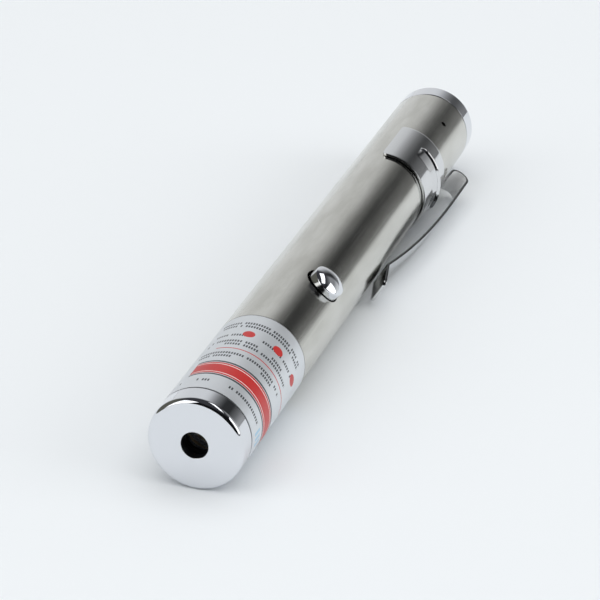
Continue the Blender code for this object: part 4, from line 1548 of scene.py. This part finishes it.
class ClipMaker:
    """Builds the pocket clip's strip of sheet from its sizes and its rib."""

    # Columns and rows of the strip's mesh, close enough that its curves look smooth.
    BAND_COLUMNS = 120
    ROWS_PLAIN = 12
    ROWS_RIB = 30
    TONGUE_ROWS = 12
    TURN_ROWS = 24
    ARM_ROWS = 70
    STRIP_COLUMNS = 12
    EDGE_STEPS = 3
    EDGE_ANGLE = math.radians(50)
    # The way from the still band to the lifting arm, in the clip's frame.
    BEND_WAY = (-0.1, 1, 0)

    def __init__(self, clip: PocketClip, rib: BandRib) -> None:
        """Keep the clip's sizes and its rib."""
        self.clip = clip
        self.rib = rib

    def row_places(self) -> list[float]:
        """Return the places of the band's rows, close together at the rib.

        Returns:
            The places along the pen, from the band's front edge to its rear edge.
        """
        start, end = self.clip.band_span
        rib = self.rib
        return runs(start, [(rib.start - rib.foot, self.ROWS_PLAIN), (rib.knee - rib.foot, self.ROWS_PLAIN),
                            (rib.end + rib.foot, self.ROWS_RIB), (end, self.ROWS_PLAIN)])

    def band_turns(self) -> list[float]:
        """Return the angles of the band's columns, with the tongue's evenly in its width.

        Returns:
            The angles from the clip's middle, in radians, from the lowest up.
        """
        half = math.radians(self.clip.wrap_angle) / 2
        tongue = math.asin(self.clip.strip / 2 / self.clip.middle)
        side = round(self.BAND_COLUMNS / 2)
        return runs(-half, [(-tongue, side), (tongue, self.STRIP_COLUMNS), (half, side)])

    def band(self, shape: Shape) -> list[Edge]:
        """Build the band and return the edges that the tongue grows from.

        Args:
            shape: The empty shape that gets the band.

        Returns:
            The edges at the band's rear, as wide as the tongue.
        """
        clip = self.clip
        places = self.row_places()
        corners = [shape.verts.new((places[0], clip.middle * math.cos(turn), clip.middle * math.sin(turn)))
                   for turn in self.band_turns()]
        edges = [shape.edges.new(pair) for pair in zip(corners, corners[1:])]
        for before, after in zip(places, places[1:]):
            edges, corners = extrude_rim(shape, edges)
            bmesh.ops.translate(shape, vec=(after - before, 0, 0), verts=corners)
        reach = clip.strip / 2 + WELD
        tongue = [edge for edge in edges
                  if all(corner.co.y > 0 and abs(corner.co.z) < reach for corner in edge.verts)]
        self.press(shape)
        return tongue

    def press(self, shape: Shape) -> None:
        """Press the rib and round the band's free corners.

        Args:
            shape: The shape, with the band alone.
        """
        clip = self.clip
        half = math.radians(clip.wrap_angle) / 2
        start, end = clip.band_span
        middle = (start + end) / 2
        for corner in shape.verts:
            turn = math.atan2(corner.co.z, corner.co.y)
            rise = self.rib.rise(corner.co.x, math.degrees(-turn))
            if turn > 0:
                rise *= 1 - min(1.0, turn / math.asin(clip.strip / 2 / clip.middle))
            corner.co.y += rise * math.cos(turn)
            corner.co.z += rise * math.sin(turn)
            inset = clip.corner - (half - abs(turn)) * clip.middle
            if inset > 0:
                cut = clip.corner - math.sqrt(clip.corner ** 2 - min(inset, clip.corner) ** 2)
                corner.co.x = middle + (corner.co.x - middle) * (1 - cut / (end - middle))

    def tongue_and_turn(self, shape: Shape, edges: list[Edge]) -> list[Edge]:
        """Build the tongue, which flattens as it goes, and the turn at its end.

        Args:
            shape: The shape that gets them.
            edges: The edges that the tongue grows from.

        Returns:
            The edges at the end of the turn.
        """
        clip = self.clip
        step_length = (clip.tongue_end - clip.band_span[1]) / self.TONGUE_ROWS
        corners: list[Corner] = []
        for row in range(self.TONGUE_ROWS):
            edges, corners = extrude_rim(shape, edges)
            for corner in corners:
                corner.co.x += step_length
                corner.co.y += (clip.leg - corner.co.y) / (self.TONGUE_ROWS - row)
        made = bmesh.ops.spin(shape, geom=edges + corners, cent=(clip.tongue_end, clip.leg + clip.turn, 0),
                              axis=(0, 0, 1), angle=math.pi, steps=self.TURN_ROWS)["geom_last"]
        return [item for item in made if isinstance(item, Edge)]

    def arm_path(self) -> list[Vector]:
        """Return the arm's middle line after the turn, to the end of its tip.

        Returns:
            Points with a place along the pen and a height above its axis.
        """
        clip = self.clip
        top = clip.leg + 2 * clip.turn
        drop = top - clip.kink
        guides = [Vector((clip.tongue_end, top))]
        for along, down in zip(clip.bend_shares, clip.drop_shares):
            guides.append(Vector((clip.tongue_end - clip.arm * along, top - drop * down)))
        guides.append(Vector((clip.tongue_end - clip.arm, clip.kink)))
        path = []
        for step in range(1, self.ARM_ROWS + 1):
            share = step / self.ARM_ROWS
            rest = 1 - share
            weights = (rest ** 3, 3 * share * rest ** 2, 3 * share ** 2 * rest, share ** 3)
            path.append(sum((guide * weight for guide, weight in zip(guides, weights)), Vector((0, 0))))
        tip = Vector((-clip.tip, clip.flare))
        return path + [path[-1] + tip * step / self.TURN_ROWS for step in range(1, self.TURN_ROWS + 1)]

    def arm(self, shape: Shape, edges: list[Edge]) -> None:
        """Build the arm and its tip, with the tip's corners rounded.

        Args:
            shape: The shape that gets them.
            edges: The edges at the end of the turn.
        """
        clip = self.clip
        path = self.arm_path()
        last = path[-1]
        for point in path:
            edges, corners = extrude_rim(shape, edges)
            inset = max(0.0, clip.tip_corner - (last - point).length)
            half = clip.strip / 2 - clip.tip_corner + math.sqrt(clip.tip_corner ** 2 - inset ** 2)
            widest = max(abs(corner.co.z) for corner in corners)
            for corner in corners:
                corner.co.x = point.x
                corner.co.y = point.y
                corner.co.z *= half / widest

    def build(self) -> None:
        """Build the clip as one strip, from the band to the arm."""
        clip = self.clip
        shape = bmesh.new()
        self.arm(shape, self.tongue_and_turn(shape, self.band(shape)))
        outwards(shape)
        piece = clip.make("spring_clip", shape, [Finishes.CLIP], clip.seat)
        wall = piece.modifiers.new("sheet", "SOLIDIFY")
        wall.thickness = clip.sheet * MM
        wall.offset = 0
        wall.use_even_offset = True
        soften = piece.modifiers.new("stamped_edges", "BEVEL")
        soften.width = clip.edge * MM
        soften.segments = self.EDGE_STEPS
        soften.limit_method = "ANGLE"
        soften.angle_limit = self.EDGE_ANGLE
        mesh = evaluated(piece)
        bpy.data.objects.remove(piece)
        # Painted reflection: the inside of the turn gets a pale, half-diffuse finish.
        self.paint_inside_reflection(mesh)
        smooth(mesh)
        piece = shown("spring_clip", mesh)
        to_row = PEN.matrix @ clip.seat
        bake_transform(piece)
        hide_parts("clip_band", "clip_arm")
        LOG.info("%s bends from the band to the arm", piece.name)

    def paint_inside_reflection(self, mesh: bpy.types.Mesh) -> None:
        """Give the inner side of the turn a pale, dull finish: a painted reflection that lightens it.

        Args:
            mesh: The clip's final mesh, in metres.
        """
        clip = self.clip
        mesh.materials.append(Finishes.CLIP_INSIDE_PAINTED_REFLECTION.material())
        to_clip = (PEN.matrix @ clip.seat).inverted()
        middle = Vector((clip.tongue_end, clip.leg + clip.turn, 0))
        # Faces inside the turn get the pale finish, which is painted reflection.
        for face in mesh.polygons:
            away = to_clip @ face.center - middle
            if away.x > -WELD and math.hypot(away.x, away.y) < clip.turn - clip.sheet / 4:
                face.material_index = 1


class PackedPieces(SubAssembly):
    """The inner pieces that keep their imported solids."""

    def dress(self) -> None:
        """Give each inner piece its finish."""
        finishes = {
            Finishes.BRASS: ["module_housing"], Finishes.GILT: ["laser_diode"],
            Finishes.BLACK_METAL: ["lens_ring"], Finishes.WIRE: ["snap_dome"],
            Finishes.TIN: ["front_contact"] + ["switch_terminal_%d" % number for number in range(1, 5)],
            Finishes.BOARD: ["driver_board"], Finishes.OCHRE_RESIN: ["capacitor"],
            Finishes.BLACK_RESIN: ["driver_chip", "switch_body", "switch_plunger"]
            + ["chip_resistor_%d" % number for number in range(1, 4)],
            Finishes.WHITE_RESIN: ["current_trimmer", "contact_carrier"]}
        for finish, nodes in finishes.items():
            for node in nodes:
                self.dress_node(node, finish)


# Studio


class Purpose(Enum):
    """What a lamp is for."""

    LIGHT = "it lights the table and the pen"
    GLINT = "the polished metal shows it"
    BOTH = "it does both"


@dataclass(frozen=True)
class Lamp:
    """A soft box, aimed at the pen.

    Attributes:
        name: Its name.
        purpose: What it is for.
        heading: Its direction from the pen, from +Y towards +X, in degrees.
        height: Its angle above the floor, in degrees.
        distance: Its distance, in metres.
        width: Its width, in metres.
        depth: Its other side, in metres.
        radiance: Its brightness, where 1 is white.
    """

    name: str
    purpose: Purpose
    heading: float
    height: float
    distance: float
    width: float
    depth: float
    radiance: float

    def add(self) -> None:
        """Add the lamp to the scene."""
        light = bpy.data.lights.new(self.name, "AREA")
        light.shape = "RECTANGLE"
        light.size = self.width
        light.size_y = self.depth
        light.energy = self.radiance * math.pi * self.width * self.depth
        lamp = shown(self.name, light)
        turn, rise = math.radians(self.heading), math.radians(self.height)
        away = Vector((math.sin(turn) * math.cos(rise), math.cos(turn) * math.cos(rise), math.sin(rise)))
        lamp.location = away * self.distance
        lamp.rotation_euler = away.to_track_quat("Z", "Y").to_euler()
        lamp.visible_camera = False
        lamp.visible_diffuse = self.purpose is not Purpose.GLINT
        lamp.visible_glossy = self.purpose is not Purpose.LIGHT


@dataclass
class Studio:
    """A pale floor, soft boxes, the room that the metal reflects, and the camera.

    Attributes:
        floor_colour: Colour of the floor, as an sRGB hex code.
        floor_size: Width of the floor, in metres.
        floor_roughness: Roughness of the floor.
        fill: Strength of the even light from all round.
        fill_colour: Its colour, as an sRGB hex code.
        wall_change: Heights, as sines, between which the low walls give way to the high ones.
        ceiling_change: Heights, as sines, between which these give way to the ceiling.
        ceiling_colour: Colour of the ceiling, as an sRGB hex code.
        camera_place: The camera's place, in millimetres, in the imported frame.
        camera_heading: How far the camera looks to the left of +Y, in degrees.
        camera_pitch: How far it looks down, in degrees.
        lens: Its focal length, in millimetres.
        nearest: Distance from which it sees things, in metres.
        front_rest: Where the front cap touches the floor along the pen.
        band_rest: Where the clip's band touches it.
    """

    floor_colour: str = "#ecf0f3"
    floor_size: float = 6.0
    floor_roughness: float = 0.9
    fill: float = 0.48
    fill_colour: str = "#ffffff"
    wall_change: tuple[float, float] = (0.08, 0.36)
    ceiling_change: tuple[float, float] = (0.6, 0.78)
    ceiling_colour: str = "#3c3c40"
    camera_place: tuple[float, float, float] = (106.01, -342.83, 176.69)
    camera_heading: float = 18.18
    camera_pitch: float = 26.04
    lens: float = 152.4
    nearest: float = 0.01
    front_rest: float = 0.8
    band_rest: float = 89.3

    LAMPS = (
        Lamp("ceiling_light", Purpose.LIGHT, 90, 87, 2.0, 2.6, 2.6, 1.04),
        Lamp("right_light", Purpose.LIGHT, 100, 35, 2.0, 1.6, 1.6, 0.6),
        Lamp("left_light", Purpose.LIGHT, -130, 35, 2.0, 1.6, 1.6, 0.95),
        Lamp("overhead_soft_box", Purpose.GLINT, 56, 62, 2.0, 1.6, 0.45, 1.9),
        Lamp("right_soft_box", Purpose.BOTH, 84, 20, 2.0, 1.3, 1.2, 1.6),
        Lamp("left_soft_box", Purpose.GLINT, -144, 26, 2.0, 1.05, 1.7, 1.6),
    )
    # The room that the metal reflects, near the floor and higher up: the heading of each stop
    # from +Y towards +X, in degrees, and the colour there.
    LOW_WALLS = (
        (-180, "#101012"), (-128, "#101012"), (-120, "#606058"), (-60, "#606058"), (-48, "#e4e6e8"),
        (-20, "#e4e6e8"), (0, "#c8cacc"), (20, "#909192"), (28, "#7a7b7c"), (33, "#7e7f80"),
        (37, "#d4d6d7"), (64, "#dadcdd"), (90, "#2c2c2e"), (120, "#101012"))
    HIGH_WALLS = (
        (-180, "#101012"), (-128, "#101012"), (-120, "#606058"), (-60, "#606058"), (-48, "#dee0e2"),
        (-12, "#dee0e2"), (-5, "#d2d4d6"), (2, "#aaabad"), (9, "#7c7d7e"), (16, "#525354"),
        (20, "#323334"), (28, "#323334"), (33, "#545556"), (38, "#8c8d8f"), (60, "#88898b"),
        (90, "#1c1c1e"), (120, "#101012"))

    def build(self) -> None:
        """Build the floor, the lamps, the world and the camera."""
        self.add_floor()
        for lamp in self.LAMPS:
            lamp.add()
        self.add_world()
        self.add_camera()
        bpy.context.scene.view_settings.view_transform = "Standard"

    def add_floor(self) -> None:
        """Add the floor, tilted a hair so that the front cap and the band both rest on it."""
        shape = bmesh.new()
        bmesh.ops.create_grid(shape, x_segments=4, y_segments=4, size=self.floor_size / 2)
        front = Vector((0, PEN.front + self.front_rest * MM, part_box("front_cap")[0].z))
        band = Vector((0, PEN.front + self.band_rest * MM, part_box("clip_band")[0].z))
        run = band - front
        tilt = Matrix.Rotation(math.atan2(run.z, run.y), 4, "X")
        bmesh.ops.transform(shape, matrix=Matrix.Translation(band) @ tilt, verts=shape.verts)
        board = Finish("matt_white_board", self.floor_colour, self.floor_roughness)
        shown("floor", finished("floor", shape, [board]))

    def add_world(self) -> None:
        """Add the even fill, and the room round the table that only the metal shows."""
        world = bpy.data.worlds.new("studio")
        bpy.context.scene.world = world
        world.use_nodes = True
        tree = world.node_tree
        tree.nodes.clear()
        way = add(tree, "ShaderNodeTexCoord").outputs["Generated"]
        parts = add(tree, "ShaderNodeSeparateXYZ", {"Vector": way}).outputs
        heading = add(tree, "ShaderNodeMath", {0: parts["X"], 1: parts["Y"]},
                      operation="ARCTAN2").outputs[0]
        share = add(tree, "ShaderNodeMapRange", {"Value": heading, "From Min": -math.pi,
                                                 "From Max": math.pi}).outputs["Result"]
        low = add(tree, "ShaderNodeValToRGB", {"Fac": share})
        high = add(tree, "ShaderNodeValToRGB", {"Fac": share})
        self.set_stops(low.color_ramp, self.LOW_WALLS)
        self.set_stops(high.color_ramp, self.HIGH_WALLS)
        room = low.outputs["Color"]
        uppers = (high.outputs["Color"], linear(self.ceiling_colour))
        for (start, end), upper in zip((self.wall_change, self.ceiling_change), uppers):
            rise = add(tree, "ShaderNodeMapRange", {"Value": parts["Z"], "From Min": start,
                                                    "From Max": end}).outputs["Result"]
            room = add(tree, "ShaderNodeMix", {"Factor": rise, 6: room, 7: upper},
                       data_type="RGBA").outputs[2]
        rays = add(tree, "ShaderNodeLightPath").outputs
        even = add(tree, "ShaderNodeBackground", {"Color": linear(self.fill_colour),
                                                  "Strength": self.fill})
        seen = add(tree, "ShaderNodeBackground", {"Color": room, "Strength": 1.0})
        pale = add(tree, "ShaderNodeBackground", {"Color": linear(self.floor_colour), "Strength": 1.0})
        glossy = add(tree, "ShaderNodeMixShader", {0: rays["Is Glossy Ray"], 1: even.outputs[0],
                                                   2: seen.outputs[0]})
        camera = add(tree, "ShaderNodeMixShader", {0: rays["Is Camera Ray"], 1: glossy.outputs[0],
                                                   2: pale.outputs[0]})
        add(tree, "ShaderNodeOutputWorld", {"Surface": camera.outputs[0]})

    @staticmethod
    def set_stops(ramp: bpy.types.ColorRamp, stops: Sequence[tuple[float, str]]) -> None:
        """Set a ramp's stops from headings in degrees and colours.

        Args:
            ramp: The ramp.
            stops: The heading and the sRGB hex code of each stop.
        """
        while len(ramp.elements) > 1:
            ramp.elements.remove(ramp.elements[-1])
        for number, (heading, colour) in enumerate(stops):
            share = (heading + 180) / 360
            stop = ramp.elements[0] if number == 0 else ramp.elements.new(share)
            stop.position = share
            stop.color = linear(colour)

    def add_camera(self) -> None:
        """Add the camera at the photograph's viewpoint."""
        data = bpy.data.cameras.new("camera")
        data.lens = self.lens
        data.clip_start = self.nearest
        camera = shown("camera", data)
        camera.location = Vector(self.camera_place) * MM
        camera.rotation_euler = (QUARTER - math.radians(self.camera_pitch), 0,
                                 math.radians(self.camera_heading))
        bpy.context.scene.camera = camera


def main() -> None:
    """Build the sub-assemblies and the studio."""
    logging.basicConfig(level=logging.INFO, format="%(name)s: %(message)s")
    button = Button()
    FrontEnd().build()
    Tube().build([button.button_hole(), button.pin_hole()])
    Label().build()
    button.build()
    TailEnd().build(button.pin_hole())
    PowerAndLens().build()
    ClipMaker(PocketClip(), BandRib()).build()
    PackedPieces().dress()
    Studio().build()


if __name__ == "__main__":
    main()
